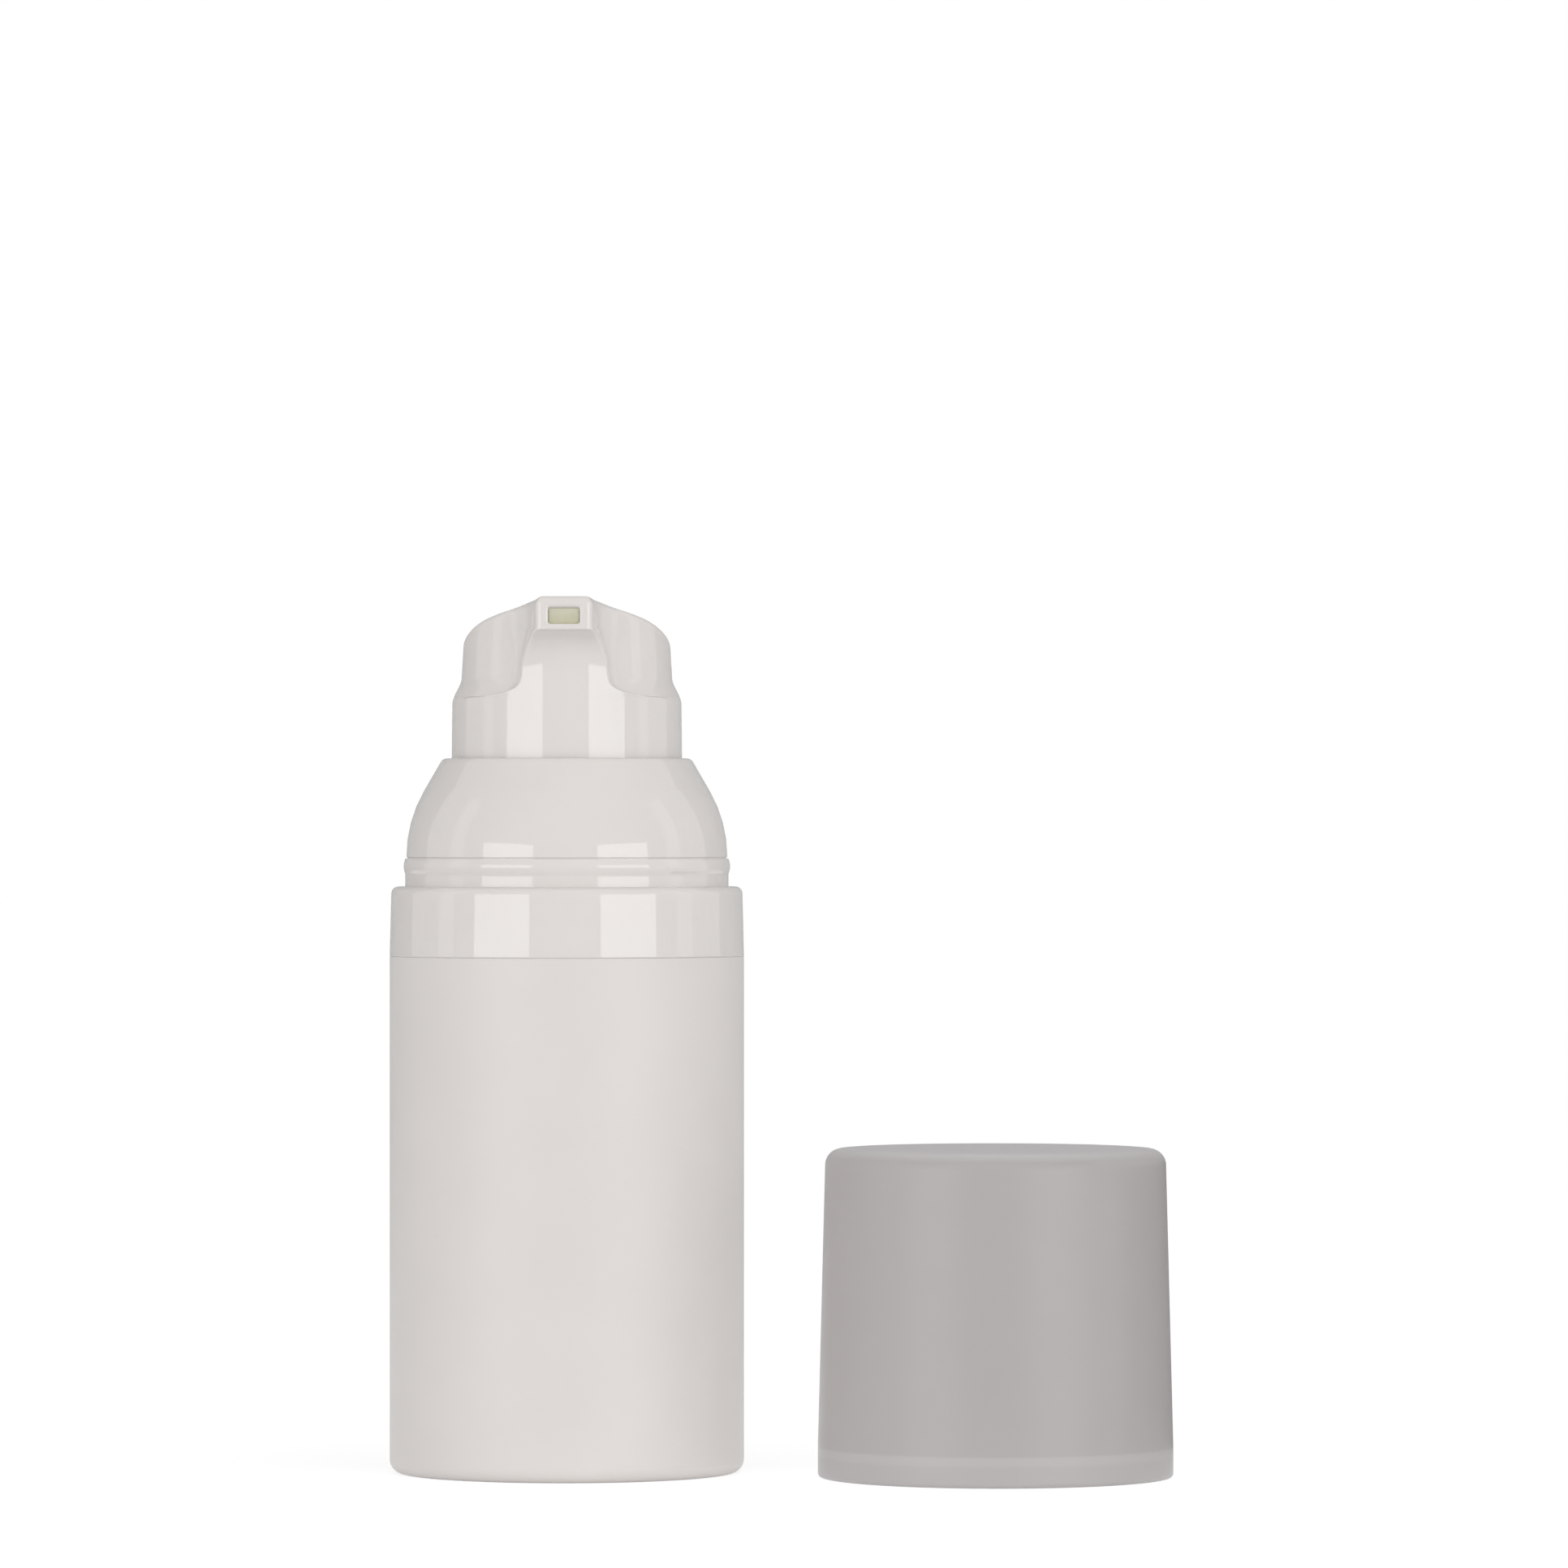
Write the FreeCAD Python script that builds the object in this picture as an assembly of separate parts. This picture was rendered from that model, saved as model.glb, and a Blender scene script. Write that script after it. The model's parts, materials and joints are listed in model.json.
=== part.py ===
import FreeCAD, Part
import math
import os

V = FreeCAD.Vector
ORIGIN = V(0, 0, 0)
UP = V(0, 0, 1)
VIA = "via"

# Fits, in millimetres like every length here
fit_gap = 0.05
slide_gap = 0.06
stop_gap = 0.05
overrun = 1.0
same_point = 1e-6

# Container
body_radius = 17.5
body_wall = 2.0
seam_height = 51.0
base_thickness = 1.6
base_edge_radius = 1.3
foot_width = 2.6
base_recess_depth = 0.5
vent_radius = 0.75
bore_corner_radius = 0.8
seam_edge_radius = 0.15
neck_height = 3.6
neck_bead_rise = 1.7
neck_bead_width = 1.4
neck_bead_depth = 0.28

# Shoulder collar
collar_skirt_wall = 0.9
ledge_thickness = 1.25
band_draw = 0.17
band_edge_radius = 0.7
cap_seat_width = 1.53
cap_bead_rise = 2.1
cap_bead_width = 1.7
cap_bead_depth = 0.18
dome_set_in = 0.12
dome_arc_radius = 13.0
dome_lean_degrees = 30.0
dome_height = 12.65
dome_top_edge_radius = 0.7
dome_wall = 1.2
sleeve_wall = 0.9
sleeve_length = 8.5

# Pump housing and gasket
gasket_thickness = 0.8
gasket_inset = 0.1
flange_thickness = 1.2
chamber_radius = 5.5
chamber_wall = 1.0
chamber_rise = 6.9
chamber_dead_gap = 0.5
chamber_floor = 1.0
chamber_edge_radius = 0.5
port_radius = 1.8
seat_width = 0.7
seat_height = 0.3
guide_bead_drop = 2.6
guide_bead_width = 1.0
guide_bead_depth = 0.2

# Inlet valve and its cage
valve_overlap = 0.6
valve_thickness = 0.7
valve_lift = 0.8
valve_fin_thickness = 0.6
valve_fin_gap = 0.12
cage_play = 0.6
cage_bar_width = 1.3
cage_bar_thickness = 0.8

# Stem, plug and dosing piston
stem_radius = 2.4
stem_waist_radius = 1.75
stem_bore_radius = 1.15
stem_port_radius = 0.45
stem_port_rise = 0.55
plug_head_radius = 2.7
plug_tip_radius = 1.2
plug_rim_height = 0.5
plug_cone_height = 1.1
plug_blade_thickness = 0.8
plug_blade_length = 4.4
piston_height = 4.3
piston_lip_height = 0.9
piston_waist_depth = 0.8
piston_flare_height = 0.5
lost_motion = 0.9
stroke = 5.5

# Stem guide
guide_plate_thickness = 1.2
guide_hub_depth = 1.55
guide_hub_play = 0.15
guide_skirt_wall = 0.85
guide_skirt_length = 4.0

# Return spring
spring_wire = 1.0
spring_play = 0.45
spring_length = 17.4
spring_turns = 7
spring_end_share = 0.3

# Actuator button
spring_room = 1.41
skirt_gap = 0.25
skirt_draft = 0.14
skirt_wall = 1.05
skirt_depth = 6.5
skirt_edge_radius = 0.4
step_rise = 5.9
step_height = 1.4
step_width = 0.84
step_crest_radius = 0.9
step_foot_radius = 1.2
wing_draft = 0.5
wing_wall = 1.1
roof_thickness = 1.2
pad_half_length = 10.0
pad_front_rise = 15.54
pad_middle_rise = 11.47
pad_back_rise = 8.6
boss_wall = 1.15
boss_clearance = 0.5
socket_depth = 7.0
rib_count = 6
rib_thickness = 0.9

# Nozzle on the button
panel_foot_drop = 1.0
panel_half_width = 4.45
break_half_width = 4.15
break_rise = 9.1
nozzle_foot_rise = 12.5
nozzle_foot_margin = 0.3
nozzle_height = 3.25
nozzle_width = 5.2
nozzle_edge_radius = 0.5
nozzle_reach = 13.3
nose_back = 5.0
ridge_front = 10.6
ridge_sink = 0.3
orifice_width = 3.06
orifice_height = 1.65
orifice_drop = 1.8
duct_rise = 1.25
duct_wall = 0.8

# Nozzle valve
tip_gap = 0.04
tip_recess = 0.7
tip_length = 3.6
tip_slit_height = 0.14
tip_slit_margin = 0.45
tip_lip_length = 1.2
tip_lip_step = 0.35
tip_throat_height = 0.8

# Follower piston
follower_wall = 1.1
follower_lip_height = 1.3
follower_waist_depth = 0.5
follower_flare_height = 0.6
follower_well_gap = 0.6
follower_rest_gap = 0.1
follower_top_gap = 0.4

# Overcap, standing mouth down beside the bottle
cap_place_x = 42.2
cap_place_y = -7.0
cap_set_in = 0.07
cap_taper = 0.75
cap_height = 32.2
cap_band_height = 2.9
cap_edge_radius = 1.6
cap_rim_edge_radius = 0.4
cap_wall = 1.3
cap_top_thickness = 1.3
cap_inner_edge_radius = 0.9
cap_bore_depth = 3.4

# Heights and radii that follow
bore_radius = body_radius - body_wall
collar_bore = body_radius - collar_skirt_wall
neck_radius = collar_bore - fit_gap
cap_neck_radius = body_radius - cap_seat_width
dome_base_radius = cap_neck_radius - dome_set_in
cap_radius = body_radius - cap_set_in
cap_top_radius = cap_radius - cap_taper
rim_z = seam_height + neck_height
flange_bottom = rim_z + gasket_thickness
flange_top = flange_bottom + flange_thickness
ledge_z = flange_top + ledge_thickness
dome_top = ledge_z + dome_height
chamber_outer = chamber_radius + chamber_wall
chamber_top = flange_top + chamber_rise
guide_top = chamber_top + guide_plate_thickness
guide_outer = chamber_outer + fit_gap + guide_skirt_wall
piston_top = chamber_top - guide_hub_depth - stop_gap
piston_bottom = piston_top - piston_height
plug_top = piston_bottom - stop_gap
stem_shoulder = piston_top + lost_motion + stop_gap
plug_tip = plug_top - plug_rim_height - plug_cone_height
cage_top = plug_tip - stroke - chamber_dead_gap
cage_stop = cage_top - cage_bar_thickness
valve_bottom = cage_stop - stop_gap - valve_lift - valve_thickness
valve_radius = port_radius + seat_width + valve_overlap
seat_top = valve_bottom - stop_gap
chamber_floor_top = seat_top - seat_height
chamber_bottom = chamber_floor_top - chamber_floor
chamber_drop = flange_bottom - chamber_bottom
spring_radius = guide_outer + spring_play + spring_wire / 2
skirt_inner = spring_radius + spring_wire / 2 + spring_room
skirt_radius = skirt_inner + skirt_wall + skirt_draft
rib_bottom = flange_top + spring_length + stop_gap
boss_bottom = guide_top + stroke + boss_clearance
stem_top = boss_bottom + socket_depth
duct_z = stem_top + duct_rise
nozzle_foot = dome_top + nozzle_foot_rise
nozzle_top = nozzle_foot + nozzle_height
orifice_z = nozzle_top - orifice_drop
follower_bottom = base_thickness + follower_rest_gap
follower_top = follower_bottom + follower_wall + chamber_drop


def outline(corners):
    """Face in the XZ plane through (x, z, radius) corners, where a VIA corner makes its sides one arc."""
    points = [V(x, 0, z) for x, z, _ in corners]
    count = len(corners)
    edges = []
    arrivals = []
    departures = []
    for i, (_, _, radius) in enumerate(corners):
        here = points[i]
        if radius in (0, VIA):
            arrivals.append(here)
            departures.append(here)
            continue
        back = (points[i - 1] - here).normalize()
        ahead = (points[(i + 1) % count] - here).normalize()
        half = back.getAngle(ahead) / 2
        run = radius / math.tan(half)
        middle = here + (back + ahead).normalize() * (radius / math.sin(half) - radius)
        arrivals.append(here + back * run)
        departures.append(here + ahead * run)
        edges.append(Part.Arc(arrivals[i], middle, departures[i]).toShape())
    for i in range(count):
        after = (i + 1) % count
        if corners[i][2] == VIA:
            edges.append(Part.Arc(departures[i - 1], points[i], arrivals[after]).toShape())
        elif corners[after][2] != VIA and not departures[i].isEqual(arrivals[after], same_point):
            edges.append(Part.LineSegment(departures[i], arrivals[after]).toShape())
    return Part.Face(Part.Wire(Part.__sortEdges__(edges)))


def turned(corners):
    """Solid of revolution about the bottle's axis."""
    return outline(corners).revolve(ORIGIN, UP, 360)


def disc(radius, bottom, top):
    """Plain cylinder about the bottle's axis."""
    return Part.makeCylinder(radius, top - bottom, V(0, 0, bottom))


def block(width, depth, bottom, top):
    """Box centred on the bottle's axis."""
    return Part.makeBox(width, depth, top - bottom, V(-width / 2, -depth / 2, bottom))


def bead(radius, centre, width, depth):
    """Corners of a rounded ring bead on a wall, from its lower end to its upper end."""
    return [(radius, centre - width / 2, 0), (radius + depth, centre, VIA), (radius, centre + width / 2, 0)]


def container():
    """Cup with a recessed base, a vent hole and a stepped neck with a snap bead."""
    foot_radius = body_radius - base_edge_radius - foot_width
    neck_bead = bead(neck_radius, seam_height + neck_bead_rise, neck_bead_width, neck_bead_depth)
    return turned([
        (vent_radius, base_recess_depth, 0),
        (foot_radius, base_recess_depth, 0),
        (foot_radius, 0, 0),
        (body_radius, 0, base_edge_radius),
        (body_radius, seam_height, seam_edge_radius),
        (neck_radius, seam_height, 0),
        *neck_bead,
        (neck_radius, rim_z, 0),
        (bore_radius, rim_z, 0),
        (bore_radius, base_thickness, bore_corner_radius),
        (vent_radius, base_thickness, 0),
    ])


def shoulder_collar():
    """Snap-on collar: band, ledge, neck with the cap's bead, and dome with a guide sleeve."""
    lean = math.radians(dome_lean_degrees)
    neck_end = ledge_z + cap_bead_rise + cap_bead_width / 2
    bend_z = neck_end + dome_arc_radius * math.tan(lean / 2)
    dome_lip = dome_base_radius - (dome_top - bend_z) * math.tan(lean)
    skirt_groove = bead(collar_bore, seam_height + neck_bead_rise, neck_bead_width, neck_bead_depth)
    outside = turned([
        (collar_bore, seam_height, 0),
        (body_radius, seam_height, seam_edge_radius),
        (body_radius - band_draw, ledge_z, band_edge_radius),
        (cap_neck_radius, ledge_z, 0),
        *bead(cap_neck_radius, ledge_z + cap_bead_rise, cap_bead_width, cap_bead_depth),
        (dome_base_radius, neck_end, 0),
        (dome_base_radius, bend_z, dome_arc_radius),
        (dome_lip, dome_top, dome_top_edge_radius),
        (0, dome_top, 0),
        (0, flange_top, 0),
        (collar_bore, flange_top, 0),
        *reversed(skirt_groove),
    ])
    inner_base = dome_base_radius - dome_wall
    inner_bend = bend_z - dome_wall * math.tan(lean / 2)
    ceiling = dome_top - dome_wall
    inside = turned([
        (0, flange_top, 0),
        (inner_base, flange_top, 0),
        (inner_base, inner_bend, dome_arc_radius - dome_wall),
        (inner_base - (ceiling - inner_bend) * math.tan(lean), ceiling, 0),
        (0, ceiling, 0),
    ])
    hole_radius = skirt_radius + skirt_gap
    sleeve_end = dome_top - sleeve_length
    sleeve = disc(hole_radius + sleeve_wall, sleeve_end, dome_top).common(outside)
    return outside.cut(inside).fuse(sleeve).cut(disc(hole_radius, sleeve_end, dome_top)).removeSplitter()


def neck_gasket():
    """Flat sealing ring on the container's rim."""
    hole = bore_radius + gasket_inset
    return disc(neck_radius, rim_z, flange_bottom).cut(disc(hole, rim_z, flange_bottom))


def pump_housing():
    """Flange with the dosing cylinder, its inlet port and the valve's seat."""
    guide_bead = bead(chamber_outer, chamber_top - guide_bead_drop, guide_bead_width, guide_bead_depth)
    seat_radius = port_radius + seat_width
    return turned([
        (port_radius, chamber_bottom, 0),
        (chamber_outer, chamber_bottom, chamber_edge_radius),
        (chamber_outer, flange_bottom, 0),
        (neck_radius, flange_bottom, 0),
        (neck_radius, flange_top, 0),
        (chamber_outer, flange_top, 0),
        *guide_bead,
        (chamber_outer, chamber_top, 0),
        (chamber_radius, chamber_top, 0),
        (chamber_radius, chamber_floor_top, 0),
        (seat_radius, chamber_floor_top, 0),
        (seat_radius, seat_top, 0),
        (port_radius, seat_top, 0),
    ])


def inlet_valve():
    """Disc poppet with crossed guide fins in the inlet port."""
    plate = disc(valve_radius, valve_bottom, valve_bottom + valve_thickness)
    span = 2 * (port_radius - valve_fin_gap)
    fin = block(span, valve_fin_thickness, chamber_bottom, valve_bottom)
    cross = block(valve_fin_thickness, span, chamber_bottom, valve_bottom)
    return plate.fuse([fin, cross]).removeSplitter()


def inlet_valve_cage():
    """Ring pressed onto the chamber's floor, with crossed bars that stop the poppet."""
    outer = disc(chamber_radius - fit_gap, chamber_floor_top, cage_top)
    ring = outer.cut(disc(valve_radius + cage_play, chamber_floor_top, cage_top))
    span = 2 * chamber_radius
    bar = block(span, cage_bar_width, cage_stop, cage_top)
    cross = block(cage_bar_width, span, cage_stop, cage_top)
    return ring.fuse(bar.fuse(cross).common(outer)).removeSplitter()


def dosing_piston():
    """Sleeve with two sealing lips that slides in the chamber and, a little, on the stem."""
    bore = stem_waist_radius + slide_gap
    lip = chamber_radius - slide_gap
    waist = lip - piston_waist_depth
    lower_lip = piston_bottom + piston_lip_height
    upper_lip = piston_top - piston_lip_height
    return turned([
        (bore, piston_bottom, 0),
        (lip, piston_bottom, 0),
        (lip, lower_lip, 0),
        (waist, lower_lip + piston_flare_height, 0),
        (waist, upper_lip - piston_flare_height, 0),
        (lip, upper_lip, 0),
        (lip, piston_top, 0),
        (bore, piston_top, 0),
    ])


def pump_stem():
    """Hollow rod with a waist for the dosing piston and two side ports above its lower end."""
    rod = turned([
        (stem_bore_radius, plug_top, 0),
        (stem_waist_radius, plug_top, 0),
        (stem_waist_radius, stem_shoulder, 0),
        (stem_radius, stem_shoulder, 0),
        (stem_radius, stem_top, 0),
        (stem_bore_radius, stem_top, 0),
    ])
    port_z = plug_top + stem_port_rise
    port = Part.makeCylinder(stem_port_radius, 2 * stem_radius, V(-stem_radius, 0, port_z), V(1, 0, 0))
    return rod.cut(port)


def stem_plug():
    """Cone head under the dosing piston, on a flat blade pressed into the stem's bore."""
    rim_bottom = plug_top - plug_rim_height
    head = turned([
        (0, plug_tip, 0),
        (plug_tip_radius, plug_tip, 0),
        (plug_head_radius, rim_bottom, 0),
        (plug_head_radius, plug_top, 0),
        (0, plug_top, 0),
    ])
    edge_radius = stem_bore_radius - fit_gap
    blade_width = 2 * math.sqrt(edge_radius ** 2 - (plug_blade_thickness / 2) ** 2)
    blade = block(plug_blade_thickness, blade_width, plug_top, plug_top + plug_blade_length)
    return head.fuse(blade).removeSplitter()


def stem_guide():
    """Cap snapped over the dosing cylinder, with a hub that guides the stem and stops the piston."""
    hole = stem_radius + slide_gap
    hub = chamber_radius - guide_hub_play
    inner = chamber_outer + fit_gap
    skirt_end = chamber_top - guide_skirt_length
    hub_end = chamber_top - guide_hub_depth
    groove = bead(inner, chamber_top - guide_bead_drop, guide_bead_width, guide_bead_depth)
    return turned([
        (hole, hub_end, 0),
        (hub, hub_end, 0),
        (hub, chamber_top, 0),
        (inner, chamber_top, 0),
        *reversed(groove),
        (inner, skirt_end, 0),
        (guide_outer, skirt_end, 0),
        (guide_outer, guide_top, 0),
        (hole, guide_top, 0),
    ])


def spring_place(turn):
    """Point and direction of the spring's wire after so many turns, with closer turns at both ends."""
    angle = 2 * math.pi * turn
    share = turn / spring_turns
    climb = spring_length - spring_wire
    height = climb * (share - spring_end_share * math.sin(2 * math.pi * share) / (2 * math.pi))
    rise = climb / spring_turns * (1 - spring_end_share * math.cos(2 * math.pi * share)) / (2 * math.pi)
    bottom = flange_top + spring_wire / 2
    point = V(spring_radius * math.cos(angle), spring_radius * math.sin(angle), bottom + height)
    heading = V(-spring_radius * math.sin(angle), spring_radius * math.cos(angle), rise)
    return point, heading.normalize()


def arc_from(start, heading, end):
    """Arc that leaves the start along the heading and reaches the end."""
    chord = end - start
    along = V(chord).normalize()
    half = heading.getAngle(along)
    side = (heading - along * heading.dot(along)).normalize()
    middle = (start + end) * 0.5 + side * (chord.Length / 2 * math.tan(half / 2))
    return Part.Arc(start, middle, end).toShape()


def biarc(turn, next_turn):
    """Two tangent arcs along the spring's wire from one place to the next."""
    start, leave = spring_place(turn)
    end, arrive = spring_place(next_turn)
    gap = end - start
    spread = 2 * (1 - leave.dot(arrive))
    pull = gap.dot(leave + arrive)
    reach = (math.sqrt(pull ** 2 + spread * gap.dot(gap)) - pull) / spread
    joint = (start + end + (leave - arrive) * reach) * 0.5
    second = arc_from(end, arrive * -1, joint)
    return [arc_from(start, leave, joint), second.reversed()]


def return_spring():
    """Helical compression spring round the dosing cylinder, dry of the product."""
    quarters = 4 * spring_turns
    edges = []
    for quarter in range(quarters):
        edges += biarc(quarter / 4, (quarter + 1) / 4)
    start, heading = spring_place(0)
    section = Part.Wire([Part.Circle(start, heading, spring_wire / 2).toShape()])
    spring = Part.Wire(edges).makePipeShell([section], True, False)
    gaps = [spring_place(q / 4 + 1)[0].distanceToPoint(spring_place(q / 4)[0]) for q in range(quarters - 3)]
    print("return_spring: least gap between turns", round(min(gaps) - spring_wire, 3))
    return spring


def pad_height(y):
    """Height of the slanted finger pad, front at negative y, as a parabola through its three heights."""
    share = y / pad_half_length
    tilt = (pad_back_rise - pad_front_rise) / 2
    sag = (pad_back_rise + pad_front_rise) / 2 - pad_middle_rise
    return dome_top + pad_middle_rise + tilt * share + sag * share ** 2


def above_pad(drop):
    """Everything above the finger pad, lowered by the drop."""
    far = skirt_radius + overrun
    ceiling = nozzle_top + far
    ends = [V(-far, y, pad_height(y) - drop) for y in (-far, 0, far)]
    front_top = V(-far, -far, ceiling)
    back_top = V(-far, far, ceiling)
    edges = [
        Part.Arc(*ends).toShape(),
        Part.LineSegment(ends[2], back_top).toShape(),
        Part.LineSegment(back_top, front_top).toShape(),
        Part.LineSegment(front_top, ends[0]).toShape(),
    ]
    return Part.Face(Part.Wire(edges)).extrude(V(2 * far, 0, 0))


def skirt_line(z):
    """Radius of the button's drafted skirt, carried on above its step for the front panel."""
    bottom = dome_top - skirt_depth
    return skirt_radius - skirt_draft * (z - bottom) / (step_rise + skirt_depth)


def nose():
    """Front panel that flares out into the nozzle, with a low ridge that fades into the pad."""
    half = nozzle_width / 2
    bottom = dome_top + step_rise - panel_foot_drop
    break_z = dome_top + break_rise
    front_view = [
        (panel_half_width, bottom, 0),
        (break_half_width, break_z, 0),
        (half + nozzle_foot_margin, nozzle_foot, 0),
        (half, nozzle_foot + nozzle_foot_margin, 0),
        (half, nozzle_top, nozzle_edge_radius),
    ]
    mirrored = [(-x, z, radius) for x, z, radius in reversed(front_view)]
    prism = outline(front_view + mirrored).extrude(V(0, nose_back - nozzle_reach, 0))
    prism.translate(V(0, -nose_back, 0))
    tip_radius = math.hypot(nozzle_reach, half + nozzle_foot_margin)
    flare = turned([
        (0, bottom, 0),
        (skirt_line(bottom), bottom, 0),
        (skirt_line(break_z), break_z, 0),
        (tip_radius, nozzle_foot, 0),
        (tip_radius, nozzle_top, 0),
        (0, nozzle_top, 0),
    ])
    ridge_corners = [
        V(-nozzle_width, -ridge_front, nozzle_top),
        V(-nozzle_width, -nose_back, pad_height(-nose_back) - ridge_sink),
        V(-nozzle_width, -nose_back + overrun, pad_height(-nose_back) - ridge_sink),
        V(-nozzle_width, -nose_back + overrun, nozzle_top + overrun),
        V(-nozzle_width, -ridge_front, nozzle_top + overrun),
    ]
    ridge_side = Part.Face(Part.makePolygon(ridge_corners + ridge_corners[:1]))
    return prism.common(flare).cut(ridge_side.extrude(V(2 * nozzle_width, 0, 0)))


def along_duct(shape):
    """Carries a shape from the Y axis, its front at negative y, to the slanted nozzle duct."""
    slope = math.degrees(math.atan2(orifice_z - duct_z, nozzle_reach))
    shape.rotate(ORIGIN, V(1, 0, 0), -slope)
    shape.translate(V(0, 0, duct_z))
    return shape


def duct_bar(width, height, back, front):
    """Bar in the slanted nozzle duct between two distances from the bottle's axis."""
    corner = V(-width / 2, -front, -height / 2)
    return along_duct(Part.makeBox(width, front - back, height, corner))


def duct_length():
    """Distance along the duct from the bottle's axis to the nozzle's face."""
    return math.hypot(nozzle_reach, orifice_z - duct_z)


def duct_height():
    """Height of the duct square to its own slope."""
    return orifice_height * nozzle_reach / duct_length()


def button_core():
    """Outside of the button without its nose: skirt, soft step, recessed wings and slanted pad."""
    skirt_top = skirt_radius - skirt_draft
    step_z = dome_top + step_rise
    wing_radius = skirt_top - step_width
    wing_z = step_z + step_height
    core = turned([
        (0, dome_top - skirt_depth, 0),
        (skirt_radius, dome_top - skirt_depth, skirt_edge_radius),
        (skirt_top, step_z, step_crest_radius),
        (wing_radius, wing_z, step_foot_radius),
        (wing_radius - wing_draft, nozzle_top, 0),
        (0, nozzle_top, 0),
    ])
    return core.cut(above_pad(0))


def button_hollow():
    """Space under the button's roof, less the socket boss, the ribs and the duct's walls."""
    step_z = dome_top + step_rise
    wing_inner = skirt_radius - skirt_draft - step_width - wing_draft - wing_wall
    hollow = turned([
        (0, dome_top - skirt_depth, 0),
        (skirt_inner, dome_top - skirt_depth, 0),
        (skirt_inner, step_z - skirt_wall, 0),
        (wing_inner, step_z, 0),
        (wing_inner, nozzle_top, 0),
        (0, nozzle_top, 0),
    ]).cut(above_pad(roof_thickness))
    boss_radius = stem_radius + fit_gap + boss_wall
    keep = [disc(boss_radius, boss_bottom, nozzle_top)]
    for number in range(rib_count):
        rib = Part.makeBox(rib_thickness, skirt_radius, nozzle_top - rib_bottom)
        rib.translate(V(-rib_thickness / 2, 0, rib_bottom))
        rib.rotate(ORIGIN, UP, number * 360 / rib_count)
        keep.append(rib)
    walls = 2 * duct_wall
    keep.append(duct_bar(orifice_width + walls, duct_height() + walls, 0, duct_length()))
    return hollow.cut(keep)


def actuator():
    """Push button: shell with a stem socket, spring ribs and the duct to the nozzle's mouth."""
    shell = button_core().fuse(nose()).cut(button_hollow())
    socket = disc(stem_radius + fit_gap, boss_bottom - overrun, stem_top)
    riser = disc(stem_bore_radius, stem_top, duct_z)
    duct = duct_bar(orifice_width, duct_height(), -stem_bore_radius, duct_length() + overrun)
    return shell.cut([socket, riser, duct]).removeSplitter()


def nozzle_valve():
    """Elastomer closing tip in the nozzle's mouth: two lips with a slit, open at the back."""
    front = duct_length() - tip_recess
    back = front - tip_length
    width = orifice_width - 2 * tip_gap
    height = duct_height() - 2 * tip_gap
    tip = duct_bar(width, height, back, front)
    slit_width = width - 2 * tip_slit_margin
    slit = duct_bar(slit_width, tip_slit_height, back, front + overrun)
    throat = duct_bar(slit_width, tip_throat_height, back - overrun, front - tip_lip_length)
    step = along_duct(Part.makeBox(width, tip_lip_step + overrun, height, V(-width / 2, -front - overrun, 0)))
    return tip.cut([slit, throat, step])


def follower_piston():
    """Piston under the product: outer skirt with two lips and a well that nests on the chamber."""
    lip = bore_radius - slide_gap
    waist = lip - follower_waist_depth
    skirt_inner = waist - follower_wall
    well = chamber_outer + follower_well_gap
    lower_lip = follower_bottom + follower_lip_height
    upper_lip = follower_top - follower_lip_height
    roof = follower_top - follower_wall
    return turned([
        (0, follower_bottom, 0),
        (well + follower_wall, follower_bottom, 0),
        (well + follower_wall, roof, 0),
        (skirt_inner, roof, 0),
        (skirt_inner, follower_bottom, 0),
        (lip - bore_corner_radius, follower_bottom, 0),
        (lip, follower_bottom + bore_corner_radius, 0),
        (lip, lower_lip, 0),
        (waist, lower_lip + follower_flare_height, 0),
        (waist, upper_lip - follower_flare_height, 0),
        (lip, upper_lip, 0),
        (lip, follower_top, 0),
        (well, follower_top, 0),
        (well, follower_bottom + follower_wall, 0),
        (0, follower_bottom + follower_wall, 0),
    ])


def overcap():
    """Thin tapered cap with a snap groove inside its mouth."""
    bore = cap_neck_radius + slide_gap
    inner_top = cap_top_radius - cap_wall
    groove = bead(bore, cap_bead_rise, cap_bead_width, cap_bead_depth)
    cap = turned([
        (bore, 0, 0),
        (cap_radius, 0, cap_rim_edge_radius),
        (cap_radius, cap_band_height, 0),
        (cap_top_radius, cap_height, cap_edge_radius),
        (0, cap_height, 0),
        (0, cap_height - cap_top_thickness, 0),
        (inner_top, cap_height - cap_top_thickness, cap_inner_edge_radius),
        (bore, cap_bore_depth, 0),
        *reversed(groove),
    ])
    cap.translate(V(cap_place_x, cap_place_y, 0))
    return cap


def main():
    os.makedirs("parts", exist_ok=True)
    makers = [
        container, shoulder_collar, neck_gasket, pump_housing, inlet_valve, inlet_valve_cage, dosing_piston,
        pump_stem, stem_plug, stem_guide, return_spring, actuator, nozzle_valve, follower_piston, overcap,
    ]
    for maker in makers:
        shape = maker()
        shape.exportStep("parts/" + maker.__name__ + ".step")
        print(maker.__name__, len(shape.Solids), shape.isValid(), round(shape.Volume, 2))
    print("follower travel", round(flange_bottom - follower_top_gap - follower_top, 3))


main()
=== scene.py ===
import json
import math

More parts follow.
